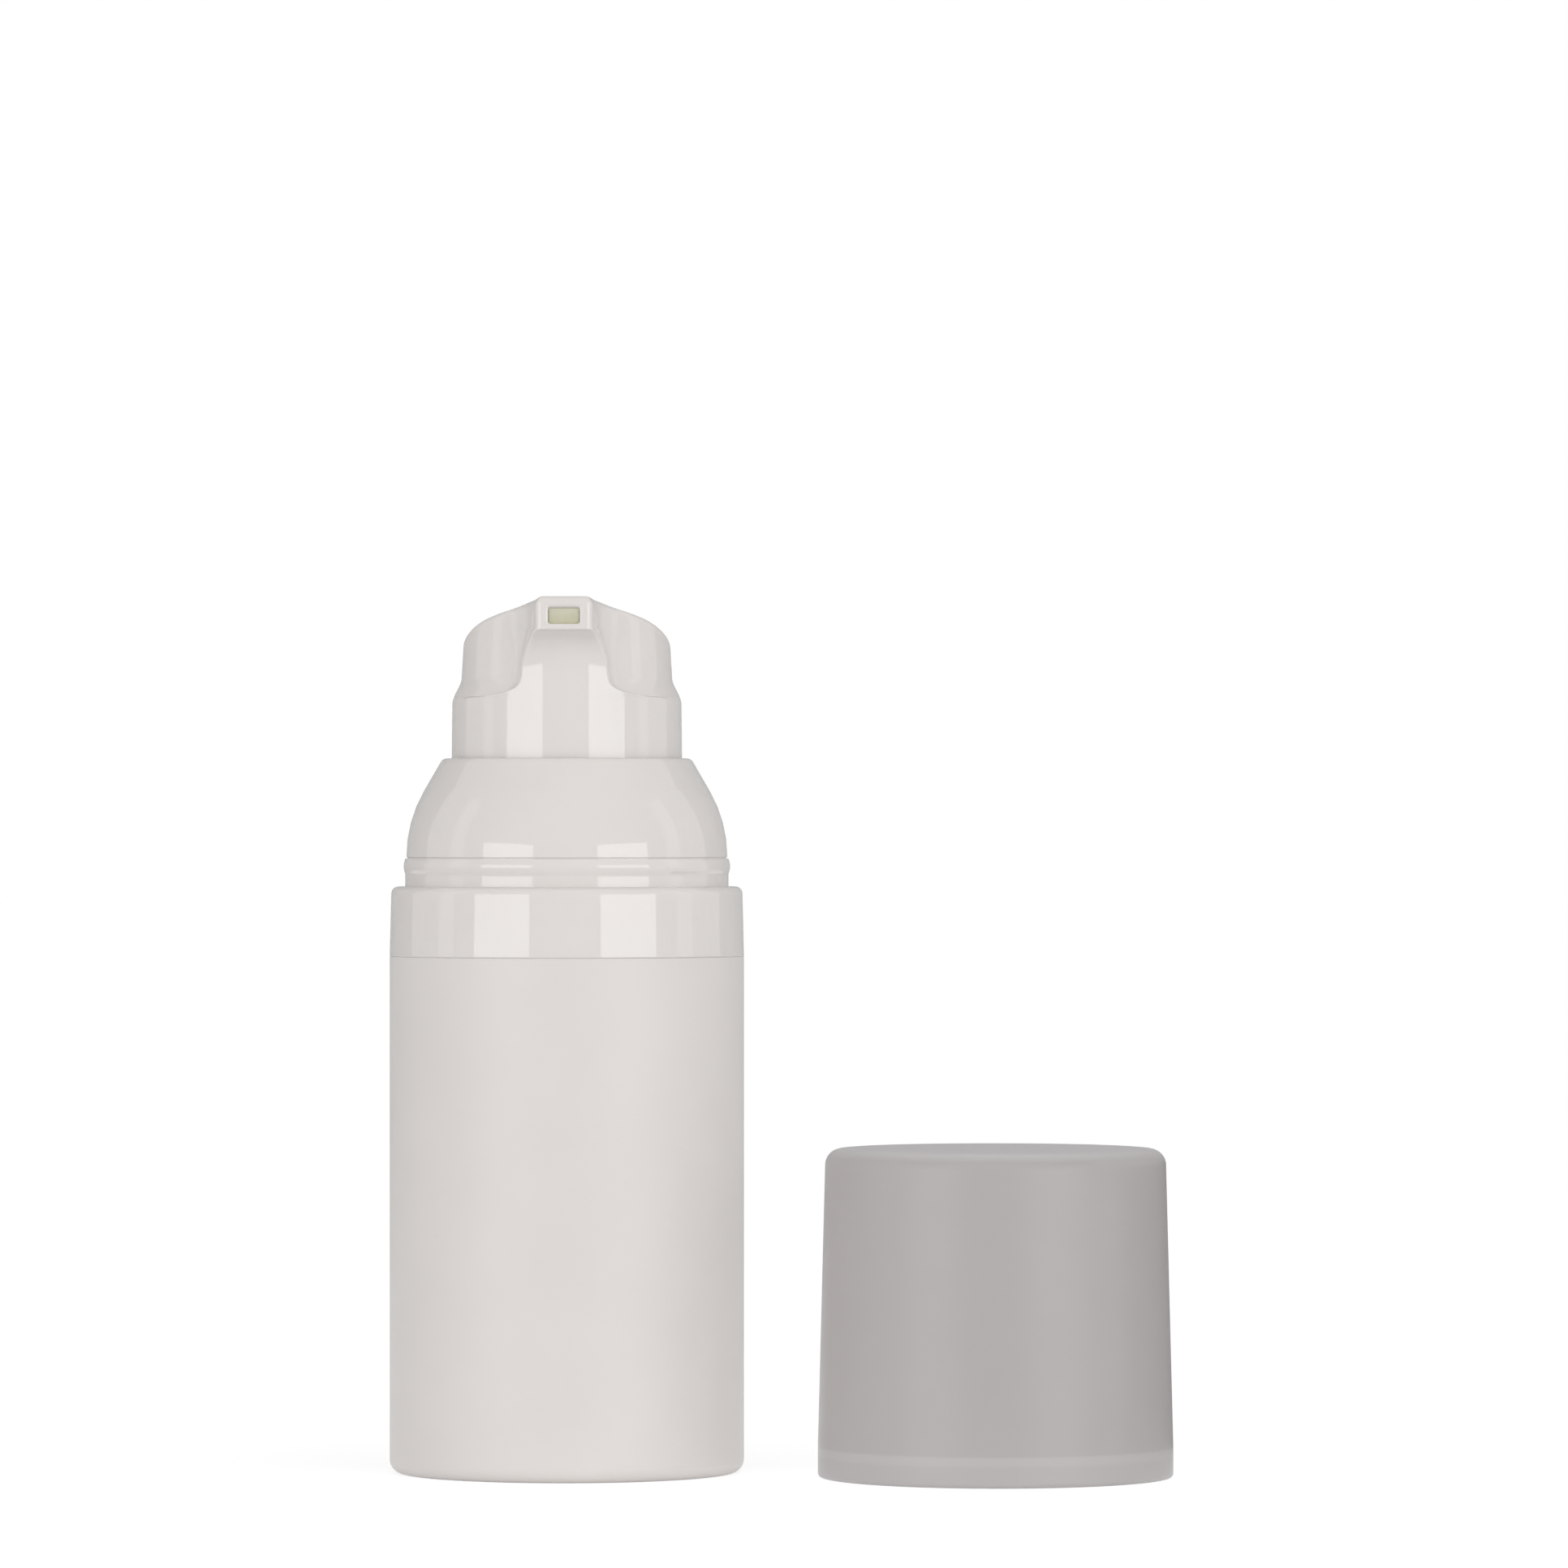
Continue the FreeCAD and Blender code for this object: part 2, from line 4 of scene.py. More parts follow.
import bpy
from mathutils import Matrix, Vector


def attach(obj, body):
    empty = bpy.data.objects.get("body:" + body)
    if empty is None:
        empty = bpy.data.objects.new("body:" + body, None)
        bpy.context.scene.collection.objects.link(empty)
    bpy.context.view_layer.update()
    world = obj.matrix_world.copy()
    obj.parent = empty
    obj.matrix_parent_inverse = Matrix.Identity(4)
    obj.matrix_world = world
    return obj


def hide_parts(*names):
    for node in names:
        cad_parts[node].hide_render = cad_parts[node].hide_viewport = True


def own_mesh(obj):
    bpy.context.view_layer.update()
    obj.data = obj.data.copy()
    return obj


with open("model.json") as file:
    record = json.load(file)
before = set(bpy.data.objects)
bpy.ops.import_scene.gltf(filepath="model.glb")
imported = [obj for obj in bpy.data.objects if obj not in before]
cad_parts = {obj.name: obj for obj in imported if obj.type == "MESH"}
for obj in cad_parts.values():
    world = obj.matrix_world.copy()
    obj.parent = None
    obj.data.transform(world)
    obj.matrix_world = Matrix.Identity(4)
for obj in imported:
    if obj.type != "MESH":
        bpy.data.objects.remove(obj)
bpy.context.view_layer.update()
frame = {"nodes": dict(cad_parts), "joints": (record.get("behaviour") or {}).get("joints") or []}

bl_info = {
    "name": "Airless pump bottle",
    "version": (1, 0, 0),
    "blender": (4, 5, 0),
    "location": "3D View > Sidebar > Bottle",
    "description": "Finished pieces and studio stage of an airless pump bottle with its overcap",
    "category": "Object",
}

MM = 0.001
SPIN_STEPS = 180
ARC_STEP = math.radians(9)
HOLD = 0.2 * MM
MERGE = 0.001 * MM
CREASE = math.radians(33)
ARC_LEAST = 3
LONG_SIDE = 5 * HOLD
PHOTO_SIDE = 1932
SENSOR = 36.0
WHITE = (1, 1, 1, 1)
NOISE_LOW = 0.3
NOISE_HIGH = 0.7
NOISE_DETAIL = 3
GLOSS_DETAIL = 4
GLOSS_PATCHES = 4
POLYPROPYLENE = {"IOR": 1.49}
POLYETHYLENE = {"IOR": 1.51}
MILKY = {"IOR": 1.49, "Subsurface_Scale": 0.8 * MM, "Subsurface_Radius": (1, 0.9, 0.8)}


def length(name, millimetres, description):
    """Property for a length, its default given in millimetres."""
    return bpy.props.FloatProperty(
        name=name, description=description, default=millimetres * MM, unit="LENGTH", precision=5)


def angle(name, degrees, description):
    """Property for an angle, its default given in degrees."""
    return bpy.props.FloatProperty(
        name=name, description=description, default=math.radians(degrees), unit="ROTATION")


def factor(name, default, description):
    """Property for a share between nothing and all."""
    return bpy.props.FloatProperty(
        name=name, description=description, default=default, min=0.0, max=1.0, subtype="FACTOR")


def level(name, default, description):
    """Property for a brightness."""
    return bpy.props.FloatProperty(name=name, description=description, default=default, min=0.0)


def colour(name, default, description):
    """Property for a colour."""
    return bpy.props.FloatVectorProperty(
        name=name, description=description, default=default, min=0.0, max=1.0, subtype="COLOR")


class ContainerSizes(bpy.types.PropertyGroup):
    """Sizes of the container."""

    body_radius: length("Body radius", 17.5, "Outside of the container")
    wall: length("Wall", 2.0, "Thickness of the container's side")
    seam_height: length("Seam height", 51.0, "Where the collar's band meets the body")
    base_thickness: length("Base", 1.6, "Thickness of the base")
    base_edge: length("Base edge", 1.3, "Round of the foot's outer edge")
    foot_width: length("Foot width", 2.6, "Flat ring that the bottle stands on")
    recess: length("Recess", 0.5, "Depth of the hollow inside the foot ring")
    vent_radius: length("Vent radius", 0.75, "Air hole under the follower piston")
    bore_round: length("Bore round", 0.8, "Round inside the base")
    seam_round: length("Seam round", 0.1, "Break of the edge at the seam")
    neck_radius: length("Neck radius", 16.55, "Outside of the neck inside the collar")
    neck_height: length("Neck height", 3.6, "Rise of the neck above the seam")
    bead_rise: length("Snap bead rise", 1.7, "Height of the snap bead above the seam")
    bead_width: length("Snap bead width", 1.4, "Width of the snap bead")
    bead_depth: length("Snap bead depth", 0.28, "How far the snap bead stands out")


class CollarSizes(bpy.types.PropertyGroup):
    """Sizes of the shoulder collar."""

    bore: length("Bore", 16.6, "Inside of the band")
    flange_height: length("Flange height", 56.6, "Underside of the ledge")
    ledge_height: length("Ledge height", 57.85, "Step that the overcap's rim meets")
    band_draw: length("Band draw", 0.17, "How much the band narrows upwards")
    band_edge: length("Band edge", 0.7, "Round of the band's upper edge")
    neck_radius: length("Cap neck radius", 15.97, "Wall that the overcap slides over")
    bead_rise: length("Cap bead rise", 2.1, "Height of the cap's snap bead above the ledge")
    bead_width: length("Cap bead width", 1.7, "Width of the cap's snap bead")
    bead_depth: length("Cap bead depth", 0.15, "How far the cap's snap bead stands out")
    notch: length("Bead notch", 0.2, "Fine groove between the cap's snap bead and the dome")
    dome_radius: length("Dome radius", 15.85, "Foot of the dome")
    dome_arc: length("Dome arc", 13.0, "Round of the dome's side")
    dome_lean: angle("Dome lean", 30.0, "Slope of the dome's upper side")
    dome_top: length("Dome top", 70.5, "Height of the dome's lip")
    dome_edge: length("Dome edge", 0.7, "Round of the dome's lip")
    wall: length("Dome wall", 1.2, "Thickness of the dome")
    hole_radius: length("Hole radius", 11.7, "Opening that the button slides in")
    hole_break: length("Hole break", 0.12, "Break of the opening's edge")
    sleeve_wall: length("Sleeve wall", 0.9, "Thickness of the button's guide sleeve")
    sleeve_length: length("Sleeve length", 8.5, "Depth of the button's guide sleeve")


class ButtonSizes(bpy.types.PropertyGroup):
    """Sizes of the actuator button."""

    bottom: length("Skirt bottom", 64.0, "Lower edge of the skirt, inside the collar")
    skirt_radius: length("Skirt radius", 11.45, "Outside of the skirt at its lower edge")
    skirt_top: length("Skirt top", 76.4, "Height where the step begins")
    skirt_draft: length("Skirt draft", 0.14, "How much the skirt narrows upwards")
    skirt_inner: length("Skirt bore", 10.26, "Inside of the skirt")
    step_low: length("Step start", 75.85, "Where the soft step leaves the skirt")
    step_high: length("Step end", 78.4, "Where the soft step meets the wings")
    wing_radius: length("Wing radius", 10.44, "Outside of the wings at their foot")
    wing_foot: length("Wing foot", 77.8, "Height of the wings' foot")
    wing_draft: length("Wing draft", 0.5, "How much the wings narrow upwards")
    wing_inner: length("Wing bore", 8.87, "Inside of the wings")
    roof: length("Roof", 1.2, "Thickness under the finger pad")
    pad_reach: length("Pad reach", 10.0, "Distance from the axis over which the pad's slope and sag count")
    pad_middle: length("Pad middle", 81.97, "Height of the pad over the axis")
    pad_slope: length("Pad slope", 3.47, "Fall of the pad towards the back")
    pad_sag: length("Pad sag", 0.6, "Hollow of the pad for the finger")
    shoulder_start: length("Shoulder start", 2.3, "Where the pad begins to fall away beside the nozzle")
    shoulder_step: length("Shoulder step", 0.15, "How far the nozzle's top stands above the shoulders")
    shoulder_fall: factor("Shoulder fall", 0.31, "Slope of the pad beside the nozzle")
    rim_round: length("Rim round", 0.6, "Round of the edge between wall and pad")
    panel_width: length("Panel half width", 4.3, "Half the front panel's width at its foot")
    panel_waist: length("Panel waist", 4.17, "Half the front panel's width at the break")
    panel_top: length("Panel top", 2.95, "Half the fairing's width under the nozzle")
    panel_flare: length("Panel flare", 1.6, "How far the panel's foot sweeps sideways")
    break_height: length("Break height", 79.55, "Where the panel starts to lean out")
    nozzle_foot: length("Nozzle foot", 83.0, "Lower edge of the nozzle's face")
    nozzle_top: length("Nozzle top", 86.25, "Upper side of the nozzle")
    nozzle_half: length("Nozzle half width", 2.75, "Half the nozzle's width")
    nozzle_reach: length("Nozzle reach", 13.3, "Distance of the nozzle's face from the axis")
    nozzle_proud: length("Nozzle lip", 0.18, "How far the nozzle's face stands out from the fairing")
    mouth_width: length("Mouth width", 3.06, "Width of the opening")
    mouth_height: length("Mouth height", 1.65, "Height of the opening")
    mouth_middle: length("Mouth middle", 84.45, "Height of the opening's middle")
    mouth_round: length("Mouth round", 0.25, "Round of the opening's corners")
    mouth_flare: length("Mouth flare", 0.22, "Round of the opening's edge")
    duct_back: length("Duct start", 78.95, "Height where the slanted duct meets the axis")
    boss_radius: length("Boss radius", 3.6, "Outside of the stem's socket")
    socket_radius: length("Socket radius", 2.45, "Inside of the stem's socket")
    boss_bottom: length("Boss bottom", 70.7, "Lower end of the stem's socket")
    socket_top: length("Socket top", 77.7, "Where the stem ends in its socket")
    riser_radius: length("Riser radius", 1.15, "Passage from the stem up to the duct")
    duct_wall: length("Duct wall", 0.8, "Thickness of the duct's walls under the roof")
    rib_count: bpy.props.IntProperty(name="Ribs", description="Ribs that the spring pushes on", default=6)
    rib_thickness: length("Rib thickness", 0.9, "Thickness of the spring ribs")
    rib_bottom: length("Rib bottom", 74.05, "Height of the spring ribs' lower edge")
    rib_sink: length("Rib sink", 0.4, "How far ribs and duct walls run into the walls that hold them")


class SmallSizes(bpy.types.PropertyGroup):
    """Sizes of the nozzle valve and the return spring."""

    valve_gap: length("Valve gap", 0.01, "Space between the valve and the duct")
    valve_recess: length("Valve recess", 0.36, "Depth of the valve's tip inside the mouth")
    valve_length: length("Valve length", 3.3, "Length of the valve along the duct")
    valve_round: length("Valve round", 0.1, "Round of the valve's edges")
    lip_length: length("Lip length", 1.2, "Depth of the valve's closed lips")
    slit_height: length("Slit height", 0.004, "Opening between the closed lips")
    slit_margin: length("Slit margin", 0.45, "Solid edge left and right of the slit")
    throat_height: length("Throat height", 0.8, "Open passage behind the lips")
    wire: length("Spring wire", 1.0, "Diameter of the spring's wire")
    spring_radius: length("Spring radius", 8.35, "Middle of the wire from the axis")
    spring_bottom: length("Spring bottom", 56.6, "Where the spring stands on the housing")
    spring_length: length("Spring length", 17.4, "Length of the spring at rest")
    spring_turns: bpy.props.IntProperty(name="Spring turns", description="Turns of the wire", default=7)
    spring_close: factor("Closed ends", 0.3, "How much closer the end turns lie")


class CapSizes(bpy.types.PropertyGroup):
    """Sizes and place of the overcap."""

    place_x: length("Place across", 42.2, "Cap axis to the right of the bottle's axis")
    place_y: length("Place in depth", -7.0, "Cap axis in front of the bottle's axis, negative to the front")
    radius: length("Radius", 17.43, "Outside of the cap at its rim")
    top_radius: length("Top radius", 16.68, "Outside of the cap at its top")
    height: length("Height", 32.2, "Height of the cap")
    band: length("Band", 2.9, "Straight part above the rim")
    edge: length("Top edge", 1.6, "Round of the top's edge")
    rim_edge: length("Rim edge", 0.4, "Round of the rim's outer edge")
    wall: length("Wall", 1.3, "Thickness of the side")
    top: length("Top", 1.3, "Thickness of the top")
    inner_edge: length("Inner edge", 0.9, "Round inside the top")
    bore: length("Mouth bore", 16.03, "Inside of the mouth")
    bore_depth: length("Bore depth", 3.4, "Depth of the mouth's straight bore")
    groove_rise: length("Groove rise", 2.1, "Height of the snap groove")
    groove_width: length("Groove width", 1.7, "Width of the snap groove")
    groove_depth: length("Groove depth", 0.18, "Depth of the snap groove")


class Finishes(bpy.types.PropertyGroup):
    """Colours and gloss of the pieces."""

    satin_white: colour("Body white", (0.735, 0.699, 0.678), "Satin polypropylene of the container")
    gloss_white: colour("Pump white", (0.75, 0.713, 0.691), "Glossy polypropylene of collar and button")
    cap_tint: colour("Cap tint", (0.46, 0.437, 0.437), "Frosted translucent plastic of the overcap")
    cream: colour("Valve cream", (0.54, 0.52, 0.375), "Elastomer in the nozzle's mouth")
    # Painted light: the nozzle valve's upper end is painted paler and its lower end darker, for how light
    # falls into the mouth
    valve_lift: factor("Valve lift", 0.15, "How much paler the nozzle valve's upper end is")
    pale_valve: colour("Inlet valve", (0.7, 0.69, 0.64), "Elastomer of the inlet valve")
    natural: colour("Natural plastic", (0.74, 0.74, 0.72), "Undyed pump parts")
    waxy: colour("Waxy plastic", (0.78, 0.77, 0.73), "Polyethylene pistons")
    foam: colour("Gasket foam", (0.8, 0.8, 0.78), "Sealing ring")
    steel: colour("Spring steel", (0.56, 0.56, 0.58), "Drawn wire")
    body_roughness: factor("Body roughness", 0.42, "Sheen of the container's satin face")
    pump_roughness: factor("Pump roughness", 0.04, "Sheen of the polished collar and button")
    cap_roughness: factor("Cap roughness", 0.34, "Sheen of the overcap")
    cream_roughness: factor("Nozzle valve roughness", 0.45, "Sheen of the nozzle valve")
    valve_roughness: factor("Inlet valve roughness", 0.5, "Sheen of the inlet valve")
    foam_roughness: factor("Gasket roughness", 0.8, "Sheen of the gasket")
    natural_roughness: factor("Pump part roughness", 0.35, "Sheen of the undyed pump parts")
    waxy_roughness: factor("Piston roughness", 0.5, "Sheen of the pistons")
    steel_roughness: factor("Spring roughness", 0.2, "Sheen of the spring wire")
    # Painted light on the overcap: a painted paler rim band, a painted paler line above it where the inner
    # groove shows through, and a painted glint along the top edge
    rim_lift: factor("Cap rim", 0.07, "How much paler the cap's rim band is")
    line_lift: factor("Cap line", 0.14, "How much paler the line near the cap's rim is")
    edge_lift: factor("Cap edge", 0.42, "How much paler the cap's top edge is")
    cap_milkiness: factor("Cap milkiness", 0.3, "How much of the cap's colour is light from its far side")
    cap_clearness: factor("Cap clearness", 0.95, "Share of the light that each face of the cap lets pass")


class StageSettings(bpy.types.PropertyGroup):
    """Camera and light."""

    camera_x: length("Camera across", 21.45, "Camera to the right of the bottle's axis")
    camera_away: length("Camera distance", 960.0, "Camera in front of the bottle's axis")
    camera_z: length("Camera height", 65.25, "Height of the horizontal view")
    pixel: length("Pixel", 0.0802, "Length that one pixel of the picture covers at the bottle's axis")
    horizon: bpy.props.FloatProperty(
        name="Horizon", description="Pixel row of the horizon in the picture", default=1000.0)
    box_away: length("Soft box distance", 900.0, "Soft boxes from the bottle's axis")
    box_turn: angle("Soft box turn", 42.0, "Soft boxes left and right of the camera's direction")
    box_span: angle("Soft box span", 38.0, "Angle that each soft box covers across")
    box_rise: angle("Soft box rise", 15.0, "Upper edge of the soft boxes above the table")
    box_light: level("Soft box light", 2.8, "Brightness of the soft boxes")
    front_light: level("Front light", 0.96, "Brightness of the room in front of the bottle")
    back_light: level("Back light", 0.35, "Brightness of the room behind the bottle")
    room_turn: angle("Room light turn", 15.0, "Brightest side of the room to the right of the camera")
    room_dimming: factor("Room dimming", 0.3, "How much dimmer the room is overhead")
    card_away: length("Edge card distance", 400.0, "Dark card behind the bottle that draws its edges")
    card_half: angle("Edge card half width", 62.0, "How far the edge card reaches round to each side")
    card_shade: colour("Edge card", (0.55, 0.55, 0.55), "Colour of the edge card")
    flag_away: length("Cap flag distance", 45.0, "Dark flag from the overcap's axis")
    flag_height: length("Cap flag height", 34.0, "Height of the dark flag")
    flag_turn: angle("Cap flag turn", 115.0, "Middle of the dark flag, from the camera's direction")
    flag_half: angle("Cap flag half width", 40.0, "How far the dark flag reaches to each side")
    flag_shade: colour("Cap flag", (0.05, 0.05, 0.05), "Colour of the dark flag")
    side_turn: angle("Side strip turn", 84.0, "Dim strips left and right, from the camera's direction")
    side_span: angle("Side strip span", 13.0, "Angle that each dim strip covers across")
    side_rise: angle("Side strip rise", 40.0, "Upper edge of the dim strips above the table")
    side_light: level("Side strip light", 0.6, "Brightness of the dim strips")
    floor: colour("Floor", (0.96, 0.96, 0.96), "Pale table")
    shadow: factor("Shadow", 0.5, "How much of the table's own shading shows")
    table_glow: level("Table glow", 0.72, "White added to the table's shading, up to plain white")


def deselect():
    """Leaves nothing selected, so that an operator acts on the new piece alone."""
    bpy.ops.object.select_all(action="DESELECT")


def edit(*steps):
    """Runs editing steps on the whole active mesh in edit mode."""
    bpy.ops.object.mode_set(mode="EDIT")
    for step in steps:
        bpy.ops.mesh.select_all(action="SELECT")
        step()
    bpy.ops.object.mode_set(mode="OBJECT")


def close_mesh():
    """Merges doubled points, deletes loose ones and turns the faces outwards."""
    bpy.ops.mesh.remove_doubles(threshold=MERGE)
    bpy.ops.mesh.delete_loose()
    bpy.ops.mesh.select_all(action="SELECT")
    bpy.ops.mesh.normals_make_consistent(inside=False)


def named(name):
    """Names the new primitive and its mesh."""
    piece = bpy.context.object
    piece.name = name
    piece.data.name = name
    return piece


def smooth(piece):
    """Smooth shading with sharp corners kept."""
    deselect()
    piece.select_set(True)
    bpy.context.view_layer.objects.active = piece
    bpy.ops.object.shade_smooth_by_angle(angle=CREASE)
    return piece


def settle(piece, finish, body, slot, *nodes):
    """Gives a piece its finish and puts it on its body in place of the CAD nodes that it stands for."""
    piece.data.materials.append(finish(bpy.context.scene.bottle_finishes))
    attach(piece, body)
    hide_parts(*nodes)


def bead(radius, middle, width, depth, points=9):
    """Corners of a rounded ring bead on a wall, upwards, or downwards with a negative width."""
    corners = []
    for number in range(points + 1):
        along = 2 * number / points - 1
        corners.append((radius + depth * (1 - along ** 2), middle + along * width / 2, 0))
    return corners


def rounded(corners):
    """Points along a closed line of (radius, height, round) corners, with holding points by its ends."""
    turns = []
    for number, (across, up, radius) in enumerate(corners):
        here = Vector((across, up))
        if not radius:
            turns.append([here])
            continue
        back = (Vector(corners[number - 1][:2]) - here).normalized()
        ahead = (Vector(corners[(number + 1) % len(corners)][:2]) - here).normalized()
        half = back.angle(ahead) / 2
        sweep = math.pi - 2 * half
        centre = here + (back + ahead).normalized() * (radius / math.sin(half))
        start = here + back * (radius / math.tan(half)) - centre
        end = here + ahead * (radius / math.tan(half)) - centre
        steps = max(ARC_LEAST, math.ceil(sweep / ARC_STEP))
        arc = []
        for step in range(steps + 1):
            done = sweep * step / steps
            arc.append(centre + (start * math.sin(sweep - done) + end * math.sin(done)) / math.sin(sweep))
        turns.append(arc)
    line = []
    for number, turn in enumerate(turns):
        line += turn
        side = turns[(number + 1) % len(turns)][0] - turn[-1]
        if side.length > LONG_SIDE:
            line += [turn[-1] + side.normalized() * HOLD, turn[-1] + side - side.normalized() * HOLD]
    return line


def lathe(name, corners, across=0.0, depth=0.0):
    """Spins a closed outline round an upright axis; where it lies on that axis it stays open."""
    line = rounded(corners)
    deselect()
    bpy.ops.mesh.primitive_circle_add(vertices=len(line))
    piece = named(name)
    for vertex, (radius, height) in zip(piece.data.vertices, line):
        vertex.co = (across + radius, depth, height)
    on_axis = {number for number, point in enumerate(line) if point.x < MERGE}
    for edge in piece.data.edges:
        edge.select = on_axis.issuperset(edge.vertices)
    for vertex in piece.data.vertices:
        vertex.select = False
    bpy.ops.object.mode_set(mode="EDIT")
    bpy.ops.mesh.select_mode(type="EDGE")
    if on_axis:
        bpy.ops.mesh.delete(type="EDGE_FACE")
    bpy.ops.mesh.select_all(action="SELECT")
    bpy.ops.mesh.spin(
        steps=SPIN_STEPS, angle=math.tau, center=(across, depth, 0), axis=(0, 0, 1), use_auto_merge=True)
    bpy.ops.object.mode_set(mode="OBJECT")
    edit(close_mesh)
    return smooth(piece)


def wrapped(name, rows):
    """Closed skin over rows of points that run round the piece, each row with as many points."""
    around = len(rows[0])
    deselect()
    bpy.ops.mesh.primitive_grid_add(x_subdivisions=around, y_subdivisions=len(rows) - 1, size=1)
    piece = named(name)
    for vertex in piece.data.vertices:
        column = round((vertex.co.x + 0.5) * around) % around
        row = round((vertex.co.y + 0.5) * (len(rows) - 1))
        vertex.co = rows[row][column]
    edit(close_mesh)
    return smooth(piece)


def spaced(*stops):
    """Values from stop to stop, each stop but the last with its number of steps to the next."""
    values = []
    for (low, steps), (high, _) in zip(stops, stops[1:]):
        values += [low + (high - low) * step / steps for step in range(steps)]
    return values + [stops[-1][0]]


def eased(low, high, value):
    """Share from none at the low value to all at the high one, with soft ends."""
    share = min(max((value - low) / (high - low), 0.0), 1.0)
    return share * share * (3 - 2 * share)


def soft_low(one, other, blend):
    """Lower of two values, rounded where they cross."""
    near = max(blend - abs(one - other), 0.0) / blend
    return min(one, other) - near * near * blend / 4


def soft_high(one, other, blend):
    """Higher of two values, rounded where they cross."""
    return -soft_low(-one, -other, blend)


def heading(turn):
    """Level direction at a turn from the front, as across and ahead."""
    return Vector((math.sin(turn), math.cos(turn)))


def turn_of(point):
    """Turn from the front of a point across and ahead of the axis."""
    return math.atan2(point.x, point.y)


def meet(one, one_radius, other, other_radius, side):
    """Point where two circles meet, right of the line between them for a side of 1, left for -1."""
    line = other - one
    along = (one_radius ** 2 - other_radius ** 2 + line.length_squared) / (2 * line.length)
    off = math.sqrt(max(one_radius ** 2 - along ** 2, 0))
    ahead = line.normalized()
    return one + ahead * along + Vector((ahead.y, -ahead.x)) * off * side


class ButtonForm:
    """Outside of the actuator button: level outlines of four tangent arcs, and the pad on top."""

    FACE, EDGE, HOLLOW, WING = 14, 7, 18, 46
    COLUMNS = FACE + EDGE + HOLLOW + WING
    PANEL_EDGE = 0.35 * MM
    NOZZLE_EDGE = 0.65 * MM
    HOLLOW_SHARE = 1.1
    HOLLOW_LEAST = 0.3 * MM
    BREAK_BLEND = 0.35 * MM
    SHOULDER_BLEND = 0.7 * MM
    LIP_BLEND = 0.14 * MM
    FLARE_FOOT = 76.95 * MM
    FLARE_DEPTH = 0.45 * MM
    NOSE_START = 0.15 * MM
    TOP_CURVE = 1.4
    FRONT_CURVE = 2.8
    NEARLY_FLAT = 0.999
    WIDEST = 0.88
    RIM_PASSES = 12
    SKIRT_EDGE = 0.3 * MM
    STEP_EASE = 0.4 * MM
    BREAK_BELOW = 0.3 * MM
    BREAK_ABOVE = 0.4 * MM
    PAD_SHARES = ((0.08, 6), (0.7, 8), (1, 0))
    RIM_TURNS = ((75, 5), (0, 0))
    FLARE_SHARES = ((0, 5), (1, 0))
    RISER_SIDES = 48

    def __init__(self, sizes):
        self.s = sizes

    def skirt(self, up):
        """Radius of the drafted skirt, carried on above its step."""
        s = self.s
        return s.skirt_radius - s.skirt_draft * (up - s.bottom) / (s.skirt_top - s.bottom)

    def round_wall(self, up):
        """Radius of skirt, soft step and wings."""
        s = self.s
        wing = s.wing_radius - s.wing_draft * (up - s.wing_foot) / (s.nozzle_top - s.wing_foot)
        return self.skirt(up) + (wing - self.skirt(up)) * eased(s.step_low, s.step_high, up)

    def lip(self, up):
        """None on the fairing, all on the nozzle."""
        return eased(self.s.nozzle_foot - self.LIP_BLEND, self.s.nozzle_foot + self.LIP_BLEND, up)

    def half_width(self, up):
        """Half the width of the front panel, its fairing and the nozzle."""
        s = self.s
        foot = s.panel_flare * math.exp((self.FLARE_FOOT - up) / self.FLARE_DEPTH)
        low = s.panel_width + (s.panel_waist - s.panel_width) * min(
            (up - self.FLARE_FOOT) / (s.break_height - self.FLARE_FOOT), 1)
        share = min(max((up - s.break_height) / (s.nozzle_foot - s.break_height), 0), 1)
        panel = foot + low - (s.panel_waist - s.panel_top) * share ** self.TOP_CURVE
        width = panel + (s.nozzle_half - panel) * self.lip(up)
        return min(width, self.round_wall(up) * self.WIDEST)

    def face(self, up):
        """Distance of the nose's face ahead of the axis and its radius: the skirt's, then almost flat."""
        s = self.s
        rise = soft_high(up - s.break_height, 0, self.BREAK_BLEND) / (s.nozzle_foot - s.break_height)
        share = min(rise, 1)
        low = self.skirt(up)
        lean = (s.nozzle_reach - s.nozzle_proud - low) * share ** self.FRONT_CURVE
        return low + lean + s.nozzle_proud * self.lip(up), low / (1 - min(share, self.NEARLY_FLAT))

    def point(self, column, up):
        """Point of the level outline, across and ahead: face, rounded edge, hollow side, round wing."""
        wing = self.round_wall(up)
        ahead, bend = self.face(up)
        middle = Vector((0, ahead - bend))
        half = self.half_width(up)
        tip = Vector((half, middle.y + math.sqrt(bend ** 2 - half ** 2)))
        relief = max(tip.length_squared - wing ** 2, 0)
        hollow = self.HOLLOW_SHARE * relief / (2 * (wing - half)) + self.HOLLOW_LEAST
        edge = self.PANEL_EDGE + (self.NOZZLE_EDGE - self.PANEL_EDGE) * self.lip(up)
        hollow_middle = meet(Vector((0, 0)), wing + hollow, tip, hollow, 1)
        edge_middle = meet(middle, bend - edge, hollow_middle, hollow + edge, -1)
        face_end = turn_of(edge_middle - middle)
        edge_end = turn_of(hollow_middle - edge_middle)
        hollow_end = turn_of(hollow_middle)
        if column <= self.FACE:
            return middle + heading(face_end * column / self.FACE) * bend
        column -= self.FACE
        if column <= self.EDGE:
            turn = face_end + (edge_end - face_end) * column / self.EDGE
            return edge_middle + heading(turn) * edge
        column -= self.EDGE
        if column <= self.HOLLOW:
            turn = edge_end + (hollow_end - edge_end) * column / self.HOLLOW
            return hollow_middle - heading(turn) * hollow
        column -= self.HOLLOW
        return heading(hollow_end + (math.pi - hollow_end) * column / self.WING) * wing

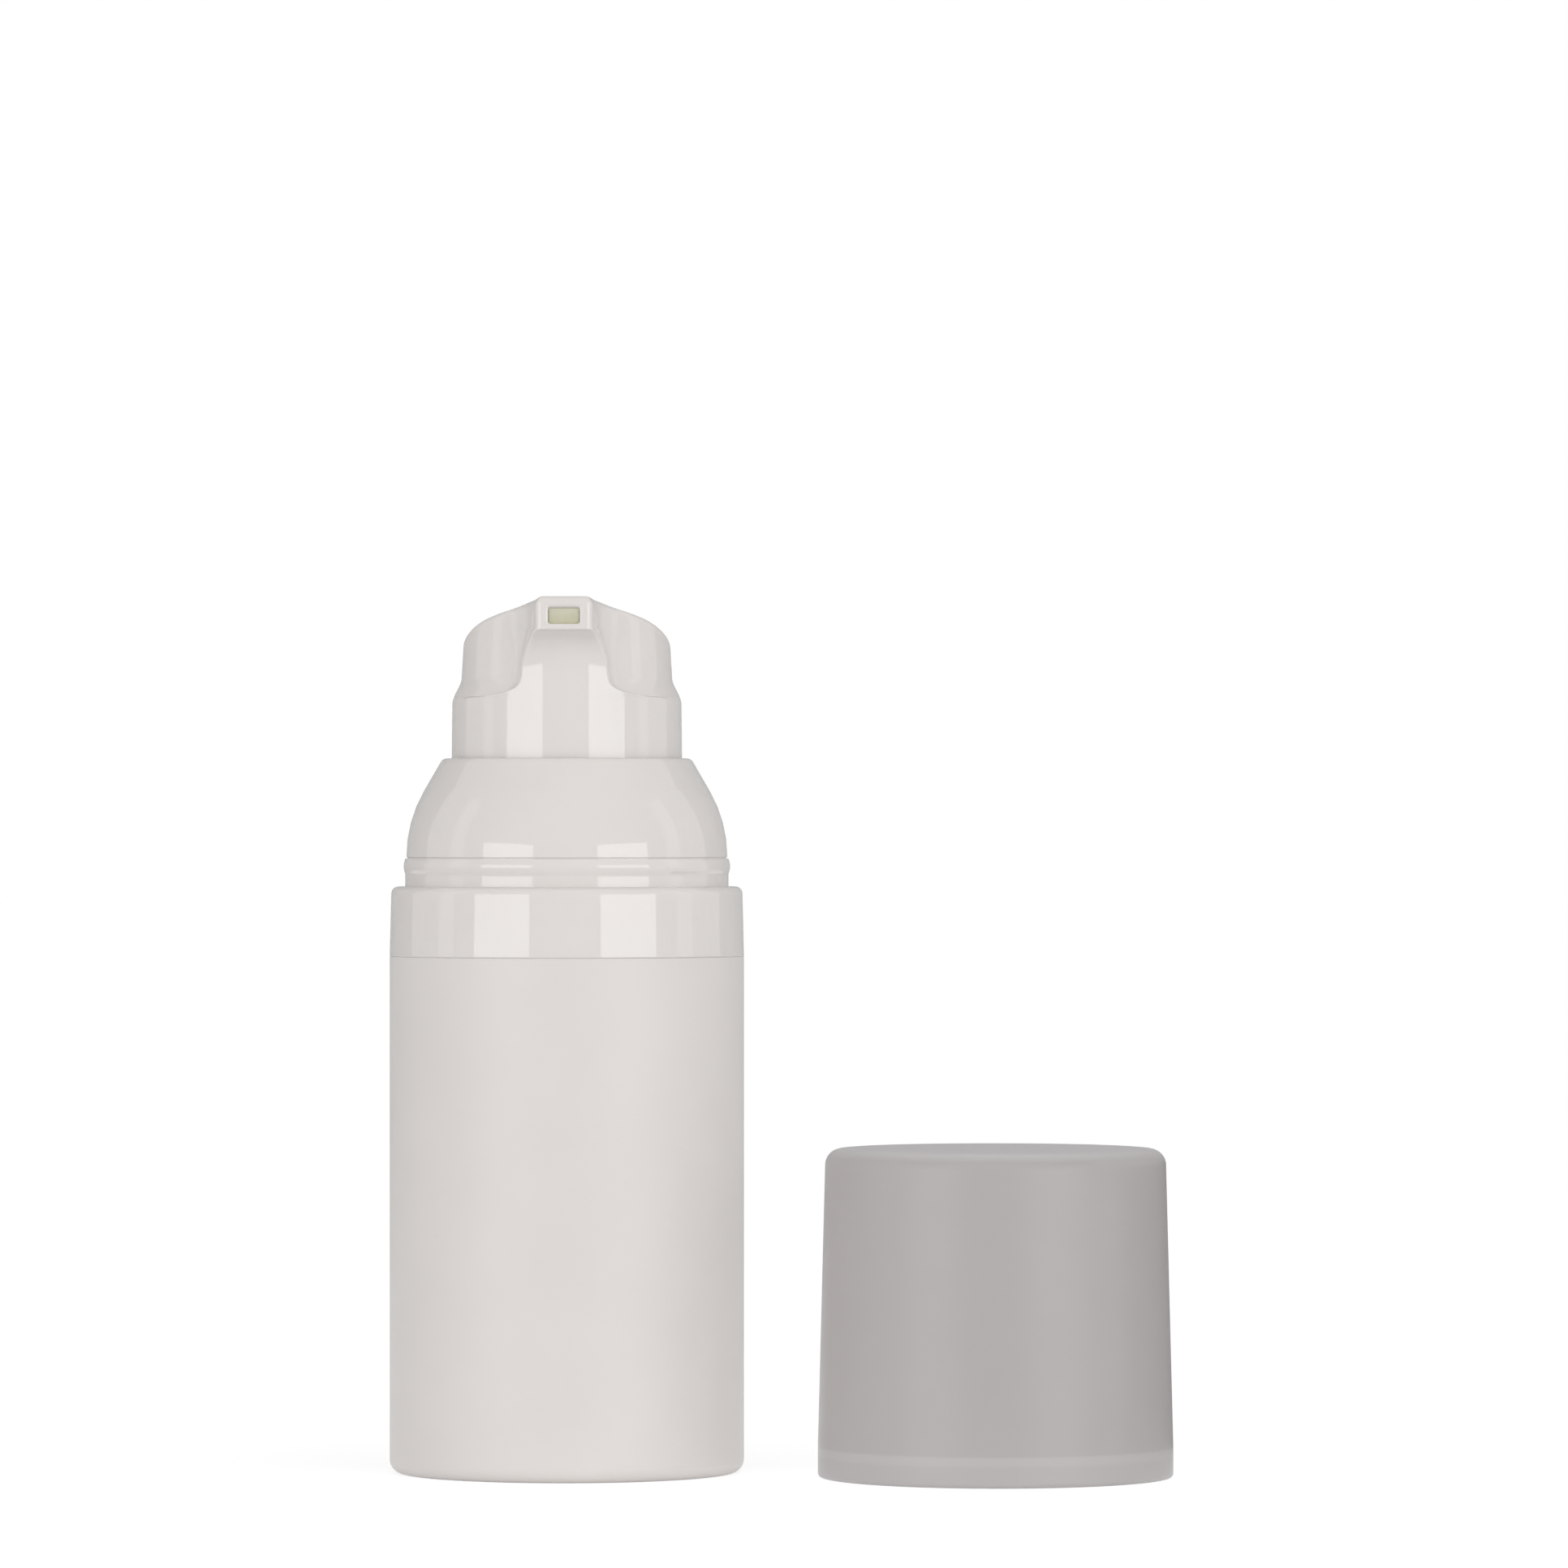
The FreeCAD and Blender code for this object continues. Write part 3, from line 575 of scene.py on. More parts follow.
    def wall(self, column, up):
        """Point of the outside at a height, across and ahead; the skirt below the nose is round."""
        lowest = self.s.step_low + self.NOSE_START
        if up >= lowest:
            return self.point(column, up)
        return heading(turn_of(self.point(column, lowest))) * self.round_wall(up)

    def pad(self, point):
        """Height of the slanted finger pad, of the nozzle's top and of the shoulders beside it."""
        s = self.s
        share = point.y / s.pad_reach
        slant = s.pad_middle + s.pad_slope * share + s.pad_sag * share ** 2
        aside = abs(point.x) - s.shoulder_start
        fall = s.shoulder_fall * soft_high(aside, 0, self.BREAK_BLEND)
        shoulder = s.nozzle_top - fall - s.shoulder_step * eased(0, self.SHOULDER_BLEND, aside)
        return soft_low(slant, shoulder, self.BREAK_BLEND)

    def rim(self, column):
        """Level point where the wall ends below the rounded rim, and its height."""
        up = self.s.nozzle_foot
        for _ in range(self.RIM_PASSES):
            point = self.wall(column, up)
            up = self.pad(point) - self.s.rim_round
        return point, up


def place(turn, away, up):
    """Point at a turn from the front, a distance from the axis and a height."""
    return Vector((away * math.sin(turn), -away * math.cos(turn), up))


def carve(piece, tool, operation):
    """Joins a tool's form to a piece or cuts it out of it, and deletes the tool."""
    deselect()
    piece.select_set(True)
    bpy.context.view_layer.objects.active = piece
    change = piece.modifiers.new(tool.name, "BOOLEAN")
    change.operation = operation
    change.solver = "EXACT"
    change.object = tool
    before = len(piece.data.polygons)
    bpy.ops.object.modifier_apply(modifier=change.name)
    if len(piece.data.polygons) == before:
        raise RuntimeError(tool.name + " left " + piece.name + " as it was")
    bpy.data.objects.remove(tool)


def block(name, corner):
    """Block with eight corners, each placed by its signs across, in depth and up."""
    deselect()
    bpy.ops.mesh.primitive_cube_add(size=2)
    piece = named(name)
    for vertex in piece.data.vertices:
        vertex.co = corner(*vertex.co)
    return piece


def duct_slope(b):
    """Fall of the button's slanted duct for each length behind the nozzle's face."""
    return (b.mouth_middle - b.duct_back) / b.nozzle_reach


def duct_bar(b, name, wide, high, front, back):
    """Bar along the button's duct, between two depths behind the nozzle's face."""
    def corner(across, behind, up):
        depth = back if behind > 0 else front
        middle = b.mouth_middle - depth * duct_slope(b)
        return across * wide / 2, depth - b.nozzle_reach, middle + up * high / 2
    return block(name, corner)


class BuildContainer(bpy.types.Operator):
    """Satin cup with a recessed foot, a vent hole and the neck that the collar snaps on."""

    bl_idname = "bottle.container"
    bl_label = "Container"

    def execute(self, context):
        s = context.scene.bottle_container
        foot = s.body_radius - s.base_edge - s.foot_width
        bore = s.body_radius - s.wall
        rim = s.seam_height + s.neck_height
        piece = lathe("container_shell", [
            (s.vent_radius, s.recess, 0),
            (foot, s.recess, s.seam_round),
            (foot, 0, s.seam_round),
            (s.body_radius, 0, s.base_edge),
            (s.body_radius, s.seam_height, s.seam_round),
            (s.neck_radius, s.seam_height, 0),
            *bead(s.neck_radius, s.seam_height + s.bead_rise, s.bead_width, s.bead_depth),
            (s.neck_radius, rim, s.seam_round),
            (bore, rim, s.seam_round),
            (bore, s.base_thickness, s.bore_round),
            (s.vent_radius, s.base_thickness, 0),
        ])
        settle(piece, satin_white, "bottle", "satin_white", "container")
        return {"FINISHED"}


class BuildCollar(bpy.types.Operator):
    """Glossy snap-on collar: band, ledge, neck with the cap's bead, and dome with a guide sleeve."""

    bl_idname = "bottle.collar"
    bl_label = "Shoulder collar"

    def execute(self, context):
        s = context.scene.bottle_collar
        c = context.scene.bottle_container
        neck_end = s.ledge_height + s.bead_rise + s.bead_width / 2
        bead_middle = s.ledge_height + s.bead_rise - s.notch / 2
        bend = neck_end + s.dome_arc * math.tan(s.dome_lean / 2)
        lip = s.dome_radius - (s.dome_top - bend) * math.tan(s.dome_lean)
        inner = s.dome_radius - s.wall
        inner_bend = bend - s.wall * math.tan(s.dome_lean / 2)
        sleeve = s.hole_radius + s.sleeve_wall
        sleeve_meets = inner_bend + (inner - sleeve) / math.tan(s.dome_lean)
        sleeve_end = s.dome_top - s.sleeve_length
        piece = lathe("collar_shell", [
            (s.bore, c.seam_height, c.seam_round),
            (c.body_radius, c.seam_height, c.seam_round),
            (c.body_radius - s.band_draw, s.ledge_height, s.band_edge),
            (s.neck_radius, s.ledge_height, c.seam_round),
            *bead(s.neck_radius, bead_middle, s.bead_width - s.notch, s.bead_depth),
            (s.dome_radius - s.notch / 2, neck_end - s.notch, 0),
            (s.dome_radius - s.notch / 2, neck_end - s.notch / 2, 0),
            (s.dome_radius, neck_end, 0),
            (s.dome_radius, bend, s.dome_arc - HOLD),
            (lip, s.dome_top, s.dome_edge),
            (s.hole_radius, s.dome_top, s.hole_break),
            (s.hole_radius, sleeve_end, s.hole_break),
            (sleeve, sleeve_end, s.hole_break),
            (sleeve, sleeve_meets, s.hole_break),
            (inner, inner_bend, s.dome_arc - s.wall),
            (inner, s.flange_height, 0),
            (s.bore, s.flange_height, 0),
            *bead(s.bore, c.seam_height + c.bead_rise, -c.bead_width, c.bead_depth),
        ])
        settle(piece, gloss_white, "bottle", "gloss_white", "shoulder_collar")
        return {"FINISHED"}


class BuildButton(bpy.types.Operator):
    """Glossy push button: skirt, soft step, recessed wings, slanted pad and the nozzle with its mouth."""

    bl_idname = "bottle.button"
    bl_label = "Actuator button"

    def execute(self, context):
        s = context.scene.bottle_button
        form = ButtonForm(s)
        rows = self.top_rows(form) + self.wall_rows(form) + self.inner_rows(form)
        piece = wrapped("actuator_button", [self.all_round(row) for row in rows])
        self.add_ribs(piece, form)
        self.cut_duct(piece, form)
        settle(piece, gloss_white, "button", "gloss_white", "actuator")
        return {"FINISHED"}

    def all_round(self, row):
        """Right half of a row, as points across, ahead and up, mirrored to a whole turn, the front at -Y."""
        right = [Vector((point.x, -point.y, point.z)) for point in row]
        return right + [Vector((-point.x, point.y, point.z)) for point in reversed(right[1:-1])]

    def top_rows(self, form):
        """Rows from the pad's middle out to its rim and round the rim's edge."""
        rim = form.s.rim_round
        points = [form.rim(column)[0] for column in range(form.COLUMNS + 1)]
        inward = []
        for number, point in enumerate(points):
            before = points[number - 1] if number else Vector((-points[1].x, points[1].y))
            after = points[number + 1] if number < form.COLUMNS else Vector((-points[-2].x, points[-2].y))
            along = after - before
            inward.append(Vector((along.y, -along.x)).normalized())
        inset = [point + side * rim for point, side in zip(points, inward)]
        rows = [[Vector((0, 0, form.pad(Vector((0, 0)))))] * len(points)]
        for share in spaced(*form.PAD_SHARES):
            rows.append([Vector((*point * share, form.pad(point * share))) for point in inset])
        for angle_down in spaced(*form.RIM_TURNS):
            bend = math.radians(angle_down)
            row = []
            for point, side in zip(points, inward):
                spot = point + side * rim * (1 - math.cos(bend))
                row.append(Vector((*spot, form.pad(spot) - rim * (1 - math.sin(bend)))))
            rows.append(row)
        return rows

    def wall_rows(self, form):
        """Rows down the outside from under the rim to the skirt's lower edge."""
        s = form.s
        high = s.nozzle_top - s.rim_round
        lip = form.LIP_BLEND
        tops = [form.rim(column)[1] for column in range(form.COLUMNS + 1)]
        levels = spaced(
            (s.step_high, 8), (s.break_height - form.BREAK_BELOW, 10),
            (s.break_height + form.BREAK_ABOVE, 14), (s.nozzle_foot - 2 * lip, 12),
            (s.nozzle_foot + 2 * lip, 14), (high, 0))
        rows = []
        for level_up in reversed(levels[:-1]):
            share = (level_up - s.step_high) / (high - s.step_high)
            row = []
            for column, top in enumerate(tops):
                up = s.step_high + share * (top - s.step_high)
                row.append(Vector((*form.wall(column, up), up)))
            rows.append(row)
        lower = spaced(
            (s.bottom + form.SKIRT_EDGE, 1), (s.bottom + 2 * form.SKIRT_EDGE, 3),
            (s.step_low - form.STEP_EASE, 2), (s.step_low, 18), (s.step_high, 0))
        for up in reversed(lower[:-1]):
            rows.append([Vector((*form.wall(column, up), up)) for column in range(form.COLUMNS + 1)])
        return rows

    def inner_rows(self, form):
        """Rows round the skirt's lower edge, up inside to the roof and round the stem's socket."""
        s = form.s
        shoulder = s.skirt_top - (s.skirt_radius - s.skirt_draft - s.skirt_inner)
        skirt = s.skirt_radius - form.SKIRT_EDGE
        ways = [heading(turn_of(form.wall(column, s.bottom))) for column in range(form.COLUMNS + 1)]
        rows = []
        for away, up in [(skirt, s.bottom), (s.skirt_inner, s.bottom), (s.skirt_inner, shoulder),
                         (s.wing_inner, s.skirt_top)]:
            rows.append([Vector((*way * away, up)) for way in ways])
        for away in (s.wing_inner, (s.wing_inner + s.boss_radius) / 2, s.boss_radius):
            rows.append([Vector((*way * away, form.pad(way * away) - s.roof)) for way in ways])
        for away, up in [(s.boss_radius, s.boss_bottom), (s.socket_radius, s.boss_bottom),
                         (s.socket_radius, s.socket_top), (0, s.socket_top)]:
            rows.append([Vector((*way * away, up)) for way in ways])
        return rows

    def add_ribs(self, piece, form):
        """Joins the ribs that the spring pushes on, and the duct's walls, under the roof."""
        s = form.s
        for number in range(s.rib_count):
            way = heading(math.tau * number / s.rib_count)

            def corner(across, out, up):
                wall = s.wing_inner if up > 0 else s.skirt_inner
                away = wall + s.rib_sink if out > 0 else s.boss_radius - s.rib_sink
                height = form.pad(way * away) - s.roof / 2 if up > 0 else s.rib_bottom
                spot = way * away + Vector((way.y, -way.x)) * across * s.rib_thickness / 2
                return spot.x, -spot.y, height
            carve(piece, block("spring_rib", corner), "UNION")
        walls = 2 * s.duct_wall
        front = s.nozzle_reach - s.wing_inner - s.rib_sink
        wide = s.mouth_width + walls
        high = s.mouth_height + walls
        carve(piece, duct_bar(s, "duct_walls", wide, high, front, s.nozzle_reach), "UNION")

    def cut_duct(self, piece, form):
        """Cuts the rounded, slightly flared mouth, its slanted duct and the riser from the stem."""
        s = form.s
        back = s.nozzle_reach + s.riser_radius
        rows = [self.mouth_row(s, back, 0, 0), self.mouth_row(s, back, 0)]
        for share in spaced(*form.FLARE_SHARES):
            bend = share * math.pi / 2
            depth = s.mouth_flare * (1 - math.sin(bend))
            rows.append(self.mouth_row(s, depth, s.mouth_flare * (1 - math.cos(bend))))
        rows += [self.mouth_row(s, -s.mouth_flare, s.mouth_flare), self.mouth_row(s, -s.mouth_flare, 0, 0)]
        carve(piece, wrapped("duct_cutter", rows), "DIFFERENCE")
        low = s.socket_top - s.rib_sink
        deselect()
        bpy.ops.mesh.primitive_cylinder_add(
            vertices=form.RISER_SIDES, radius=s.riser_radius, depth=s.duct_back - low,
            location=(0, 0, (s.duct_back + low) / 2))
        carve(piece, named("riser_cutter"), "DIFFERENCE")
        smooth(piece)

    def mouth_row(self, s, depth, grow, size=1):
        """Rounded outline of the mouth at a depth behind the nozzle's face, or its middle for no size."""
        middle = s.mouth_middle - depth * duct_slope(s)
        wide = s.mouth_width / 2 + grow
        high = s.mouth_height / 2 + grow
        line = rounded([(across, up, s.mouth_round + grow)
                        for across, up in [(wide, high), (-wide, high), (-wide, -high), (wide, -high)]])
        return [Vector((point.x * size, depth - s.nozzle_reach, middle + point.y * size)) for point in line]


class BuildNozzleValve(bpy.types.Operator):
    """Cream elastomer valve that closes the nozzle's mouth."""

    bl_idname = "bottle.nozzle_valve"
    bl_label = "Nozzle valve"

    ROUND_STEPS = 4

    def execute(self, context):
        s = context.scene.bottle_small
        b = context.scene.bottle_button
        wide = b.mouth_width - 2 * s.valve_gap
        high = b.mouth_height - 2 * s.valve_gap
        slit = wide - 2 * s.slit_margin
        back = s.valve_recess + s.valve_length
        throat = s.valve_recess + s.lip_length
        piece = duct_bar(b, "nozzle_valve_tip", wide, high, s.valve_recess, back)
        edit(lambda: bpy.ops.mesh.bevel(offset=s.valve_round, segments=self.ROUND_STEPS, affect="EDGES"))
        carve(piece, duct_bar(b, "throat_cutter", slit, s.throat_height, throat, back + HOLD), "DIFFERENCE")
        carve(piece, duct_bar(b, "slit_cutter", slit, s.slit_height, 0, throat + HOLD), "DIFFERENCE")
        smooth(piece)
        settle(piece, cream_elastomer, "button", "cream_elastomer", "nozzle_valve")
        return {"FINISHED"}


class BuildSpring(bpy.types.Operator):
    """Return spring of drawn wire, closer wound at its ends."""

    bl_idname = "bottle.return_spring"
    bl_label = "Return spring"

    STATIONS = 40
    SIDES = 14

    def execute(self, context):
        s = context.scene.bottle_small
        climb = s.spring_length - s.wire
        ring = [heading(math.tau * number / self.SIDES).yx * s.wire / 2 for number in range(self.SIDES)]
        rows = []
        last = self.STATIONS * s.spring_turns
        for station in range(last + 1):
            share = station / last
            turn = math.tau * s.spring_turns * share
            eased_share = share - s.spring_close * math.sin(math.tau * share) / math.tau
            middle = s.spring_bottom + s.wire / 2 + climb * eased_share
            rows.append([place(turn, s.spring_radius + across, middle + up) for across, up in ring])
            if station in (0, last):
                rows.append([place(turn, s.spring_radius, middle)] * self.SIDES)
        rows[0], rows[1] = rows[1], rows[0]
        piece = wrapped("return_spring_wire", rows)
        settle(piece, spring_steel, "bottle", "spring_steel", "return_spring")
        press = next(joint for joint in frame["joints"] if joint["name"] == "actuator_press")
        stroke = max(press["range_m"])
        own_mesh(piece)
        return {"FINISHED"}


class BuildOvercap(bpy.types.Operator):
    """Frosted translucent overcap, mouth down beside the bottle, with a snap groove inside."""

    bl_idname = "bottle.overcap"
    bl_label = "Overcap"

    def execute(self, context):
        s = context.scene.bottle_cap
        inner_top = s.top_radius - s.wall
        ceiling = s.height - s.top
        piece = lathe("overcap_shell", [
            (s.bore, 0, s.groove_depth),
            (s.radius, 0, s.rim_edge),
            (s.radius, s.band, 0),
            (s.top_radius, s.height, s.edge),
            (0, s.height, 0),
            (0, ceiling, 0),
            (inner_top, ceiling, s.inner_edge),
            (s.bore, s.bore_depth, 0),
            *bead(s.bore, s.groove_rise, -s.groove_width, s.groove_depth),
        ], s.place_x, s.place_y)
        settle(piece, frosted_clear, "overcap", "frosted_clear", "overcap")
        return {"FINISHED"}


class FinishInnerParts(bpy.types.Operator):
    """Finishes for the pump parts inside, which keep their CAD shapes."""

    bl_idname = "bottle.inner_parts"
    bl_label = "Inner parts"

    def execute(self, context):
        finishes = context.scene.bottle_finishes
        moulded = natural_polypropylene(finishes)
        waxy = natural_polyethylene(finishes)
        for finish, nodes in [
            (moulded, ("pump_housing", "inlet_valve_cage", "stem_guide", "pump_stem", "stem_plug")),
            (waxy, ("dosing_piston", "follower_piston")),
            (valve_elastomer(finishes), ("inlet_valve",)),
            (gasket_foam(finishes), ("neck_gasket",)),
        ]:
            for name in nodes:
                slots = frame["nodes"][name].data.materials
                slots.clear()
                slots.append(finish)
        return {"FINISHED"}


class BuildStage(bpy.types.Operator):
    """Pale table, soft boxes and dim strips left and right, room light, edge cards and the camera."""

    bl_idname = "bottle.stage"
    bl_label = "Stage"

    TABLE_SIDE = 12
    TABLE_CUTS = 8
    CARD_STEPS = 24
    NEAREST = 10 * MM

    def execute(self, context):
        s = context.scene.bottle_stage
        cap = context.scene.bottle_cap
        context.scene.view_settings.view_transform = "Standard"
        self.table(s)
        self.room(context.scene, s)
        for side in (-1, 1):
            self.lamp(context, s, "soft_box", side * s.box_turn, s.box_span, s.box_rise, s.box_light)
            self.lamp(context, s, "side_strip", side * s.side_turn, s.side_span, s.side_rise, s.side_light)
        self.card("edge_card", Vector(), s.card_away, s.card_away, math.pi, s.card_half, s.card_shade)
        beside = Vector((cap.place_x, cap.place_y, 0))
        self.card("cap_flag", beside, s.flag_away, s.flag_height, s.flag_turn, s.flag_half, s.flag_shade)
        self.camera(context, s)
        return {"FINISHED"}

    def table(self, s):
        """Wide table, white to the camera with a soft shadow."""
        deselect()
        bpy.ops.mesh.primitive_plane_add(size=self.TABLE_SIDE)
        floor = named("table")
        edit(lambda: bpy.ops.mesh.subdivide(number_cuts=self.TABLE_CUTS))
        material, tree = new_material("pale_table")
        paper = node(tree, "BsdfDiffuse", Color=(*s.floor, 1))
        white = node(tree, "Emission", Strength=s.table_glow / (1 - s.shadow))
        show(tree, blended(tree, seen_rays(tree, 1 - s.shadow), paper, white))
        floor.data.materials.append(material)

    def room(self, scene, s):
        """Soft light from all round, stronger from the front, and a white background."""
        world = bpy.data.worlds.new("studio")
        scene.world = world
        world.use_nodes = True
        tree = world.node_tree
        tree.nodes.clear()
        where = node(tree, "TexCoord")
        behind = node(tree, "VectorMath")
        behind.operation = "DOT_PRODUCT"
        behind.inputs[1].default_value = s.room_dimming * Vector((0, 0, 1)) - place(s.room_turn, 1, 0)
        fall = node(tree, "MapRange", From_Min=-1, From_Max=1, To_Min=s.front_light, To_Max=s.back_light)
        fall.interpolation_type = "SMOOTHSTEP"
        light = node(tree, "Background", Color=WHITE)
        white = node(tree, "Background", Color=WHITE)
        tree.links.new(where.outputs["Generated"], behind.inputs[0])
        tree.links.new(behind.outputs["Value"], fall.inputs["Value"])
        tree.links.new(fall.outputs["Result"], light.inputs["Strength"])
        show(tree, blended(tree, seen_rays(tree), light, white), "OutputWorld")

    def lamp(self, context, s, name, turn, span, rise, brightness):
        """One flat lamp, standing on the table and turned to the bottle."""
        high = s.box_away * math.tan(rise)
        wide = 2 * s.box_away * math.tan(span / 2)
        light = bpy.data.lights.new(name, "AREA")
        light.shape = "RECTANGLE"
        light.size = wide
        light.size_y = high
        light.energy = brightness * math.pi * wide * high
        lamp = bpy.data.objects.new(name, light)
        context.scene.collection.objects.link(lamp)
        lamp.location = place(turn, s.box_away, high / 2)
        lamp.rotation_euler = (math.pi / 2, 0, turn)
        lamp.visible_camera = False

    def card(self, name, middle, away, high, turn, half, shade):
        """Upright card curved round an axis, seen in reflections only, that draws a piece's edges darker."""
        deselect()
        bpy.ops.mesh.primitive_grid_add(x_subdivisions=self.CARD_STEPS, y_subdivisions=1, size=1)
        card = named(name)
        for vertex in card.data.vertices:
            vertex.co = middle + place(turn + 2 * vertex.co.x * half, away, (vertex.co.y + 0.5) * high)
        material, tree = new_material(name)
        show(tree, node(tree, "BsdfDiffuse", Color=(*shade, 1)))
        card.data.materials.append(material)
        card.visible_camera = False
        card.visible_diffuse = False
        card.visible_transmission = False
        card.visible_shadow = False

    def camera(self, context, s):
        """Level camera at the picture's place, shifted to the picture's framing."""
        lens = bpy.data.cameras.new("camera")
        lens.sensor_width = SENSOR
        lens.lens = SENSOR * s.camera_away / (s.pixel * PHOTO_SIDE)
        lens.shift_y = (s.horizon - PHOTO_SIDE / 2) / PHOTO_SIDE
        lens.clip_start = self.NEAREST
        camera = bpy.data.objects.new("camera", lens)
        context.scene.collection.objects.link(camera)
        camera.location = (s.camera_x, -s.camera_away, s.camera_z)
        camera.rotation_euler = (math.pi / 2, 0, 0)
        context.scene.camera = camera


def new_material(name):
    """Empty node material and its node tree."""
    material = bpy.data.materials.new(name)
    material.use_nodes = True
    material.node_tree.nodes.clear()
    return material, material.node_tree


def node(tree, kind, **values):
    """New shader node, with values for its inputs by their names."""
    made = tree.nodes.new("ShaderNode" + kind)
    for name, value in values.items():
        made.inputs[name.replace("_", " ")].default_value = value
    return made


def show(tree, shader, output="OutputMaterial"):
    """Makes a shader the surface of its material or world."""
    tree.links.new(shader.outputs[0], node(tree, output).inputs["Surface"])


def feed(tree, value, socket):
    """Sets a socket to a number, or links another socket to it."""
    if isinstance(value, float):
        socket.default_value = value
    else:
        tree.links.new(value, socket)


def blended(tree, share, one, other):
    """Mix of two shaders, with a share of the second."""
    mix = node(tree, "MixShader")
    feed(tree, share, mix.inputs[0])
    feed(tree, one.outputs[0], mix.inputs[1])
    feed(tree, other.outputs[0], mix.inputs[2])
    return mix


def reckon(tree, operation, one, other):
    """Sum or product of a socket and another socket or number, up to one."""
    step = node(tree, "Math")
    step.operation = operation
    step.use_clamp = True
    feed(tree, one, step.inputs[0])
    feed(tree, other, step.inputs[1])
    return step.outputs[0]


def ray_share(tree, share, *kinds):
    """The share for rays of the named kinds, and none for all other rays."""
    path = node(tree, "LightPath")
    total = path.outputs[kinds[0]]
    for kind in kinds[1:]:
        total = reckon(tree, "ADD", total, path.outputs[kind])
    return reckon(tree, "MULTIPLY", total, share)


def seen_rays(tree, share=1.0):
    """The share for what the camera sees directly, mirrored or through a clear piece."""
    return ray_share(tree, share, "Is Camera Ray", "Is Glossy Ray", "Is Transmission Ray")


def noise(tree, where, size, detail):
    """Noise whose patches are about that size."""
    texture = node(tree, "TexNoise", Scale=1 / size, Detail=detail)
    tree.links.new(where, texture.inputs["Vector"])
    return texture.outputs["Fac"]


def ranged(tree, value, low, high):
    """Noise spread from the low to the high end."""
    spread = node(tree, "MapRange", From_Min=NOISE_LOW, From_Max=NOISE_HIGH, To_Min=low, To_Max=high)
    tree.links.new(value, spread.inputs["Value"])
    return spread.outputs["Result"]


def plastic(name, tint, roughness, *, cloud, cloud_size, grain, grain_size, spread, **sockets):
    """Moulded plastic: clouded colour, uneven gloss and a fine mould grain."""
    material, tree = new_material(name)
    where = node(tree, "TexCoord").outputs["Object"]
    shader = node(tree, "BsdfPrincipled", **sockets)
    show(tree, shader)
    blend = node(tree, "Mix")
    blend.data_type = "RGBA"
    blend.inputs["A"].default_value = (*[part * (1 - cloud) for part in tint], 1)
    blend.inputs["B"].default_value = (*[min(part * (1 + cloud), 1) for part in tint], 1)
    clouds = noise(tree, where, cloud_size, NOISE_DETAIL)
    tree.links.new(ranged(tree, clouds, 0, 1), blend.inputs["Factor"])
    tree.links.new(blend.outputs["Result"], shader.inputs["Base Color"])
    gloss = noise(tree, where, cloud_size / GLOSS_PATCHES, GLOSS_DETAIL)
    tree.links.new(ranged(tree, gloss, roughness - spread, roughness + spread), shader.inputs["Roughness"])
    bump = node(tree, "Bump", Strength=1, Distance=grain)
    tree.links.new(noise(tree, where, grain_size, NOISE_DETAIL), bump.inputs["Height"])
    tree.links.new(bump.outputs["Normal"], shader.inputs["Normal"])
    return material


def graded(material, stops):
    """Paints light into a finish's colour: lifts it towards white along the piece's height, by stops of
    height and lift.
    """
    tree = material.node_tree
    base = tree.nodes["Principled BSDF"].inputs["Base Color"]
    low, high = stops[0][0], stops[-1][0]
    split = node(tree, "SeparateXYZ")
    tree.links.new(tree.nodes["Texture Coordinate"].outputs["Object"], split.inputs[0])
    share = node(tree, "MapRange", From_Min=low, From_Max=high)
    tree.links.new(split.outputs["Z"], share.inputs["Value"])
    ramp = node(tree, "ValToRGB")
    marks = ramp.color_ramp.elements
    marks.remove(marks[1])
    for up, lift in stops:
        mark = marks.new((up - low) / (high - low)) if up > low else marks[0]
        mark.color = (lift, lift, lift, 1)
    tree.links.new(share.outputs["Result"], ramp.inputs["Fac"])
    pale = node(tree, "Mix")
    pale.data_type = "RGBA"
    pale.inputs["B"].default_value = WHITE
    tree.links.new(ramp.outputs["Color"], pale.inputs["Factor"])
    tree.links.new(base.links[0].from_socket, pale.inputs["A"])
    tree.links.new(pale.outputs["Result"], base)
    return material


def once(maker):
    """Keeps one material for all the pieces that share a finish."""
    name = maker.__name__ + "_finish"

    def shared(finishes):
        return bpy.data.materials.get(name) or maker(name, finishes)
    return shared


@once
def satin_white(name, f):
    """Container: white polypropylene with a fine spark-eroded satin face."""
    return plastic(
        name, f.satin_white, f.body_roughness, cloud=0.012, cloud_size=9 * MM, grain=0.0016 * MM,
        grain_size=0.25 * MM, spread=0.03, Subsurface_Weight=0.2, **MILKY)


@once
def gloss_white(name, f):
    """Collar and button: white polypropylene from a polished mould."""
    return plastic(
        name, f.gloss_white, f.pump_roughness, cloud=0.01, cloud_size=7 * MM, grain=0.0002 * MM,
        grain_size=0.8 * MM, spread=0.01, Subsurface_Weight=0.3, **MILKY)


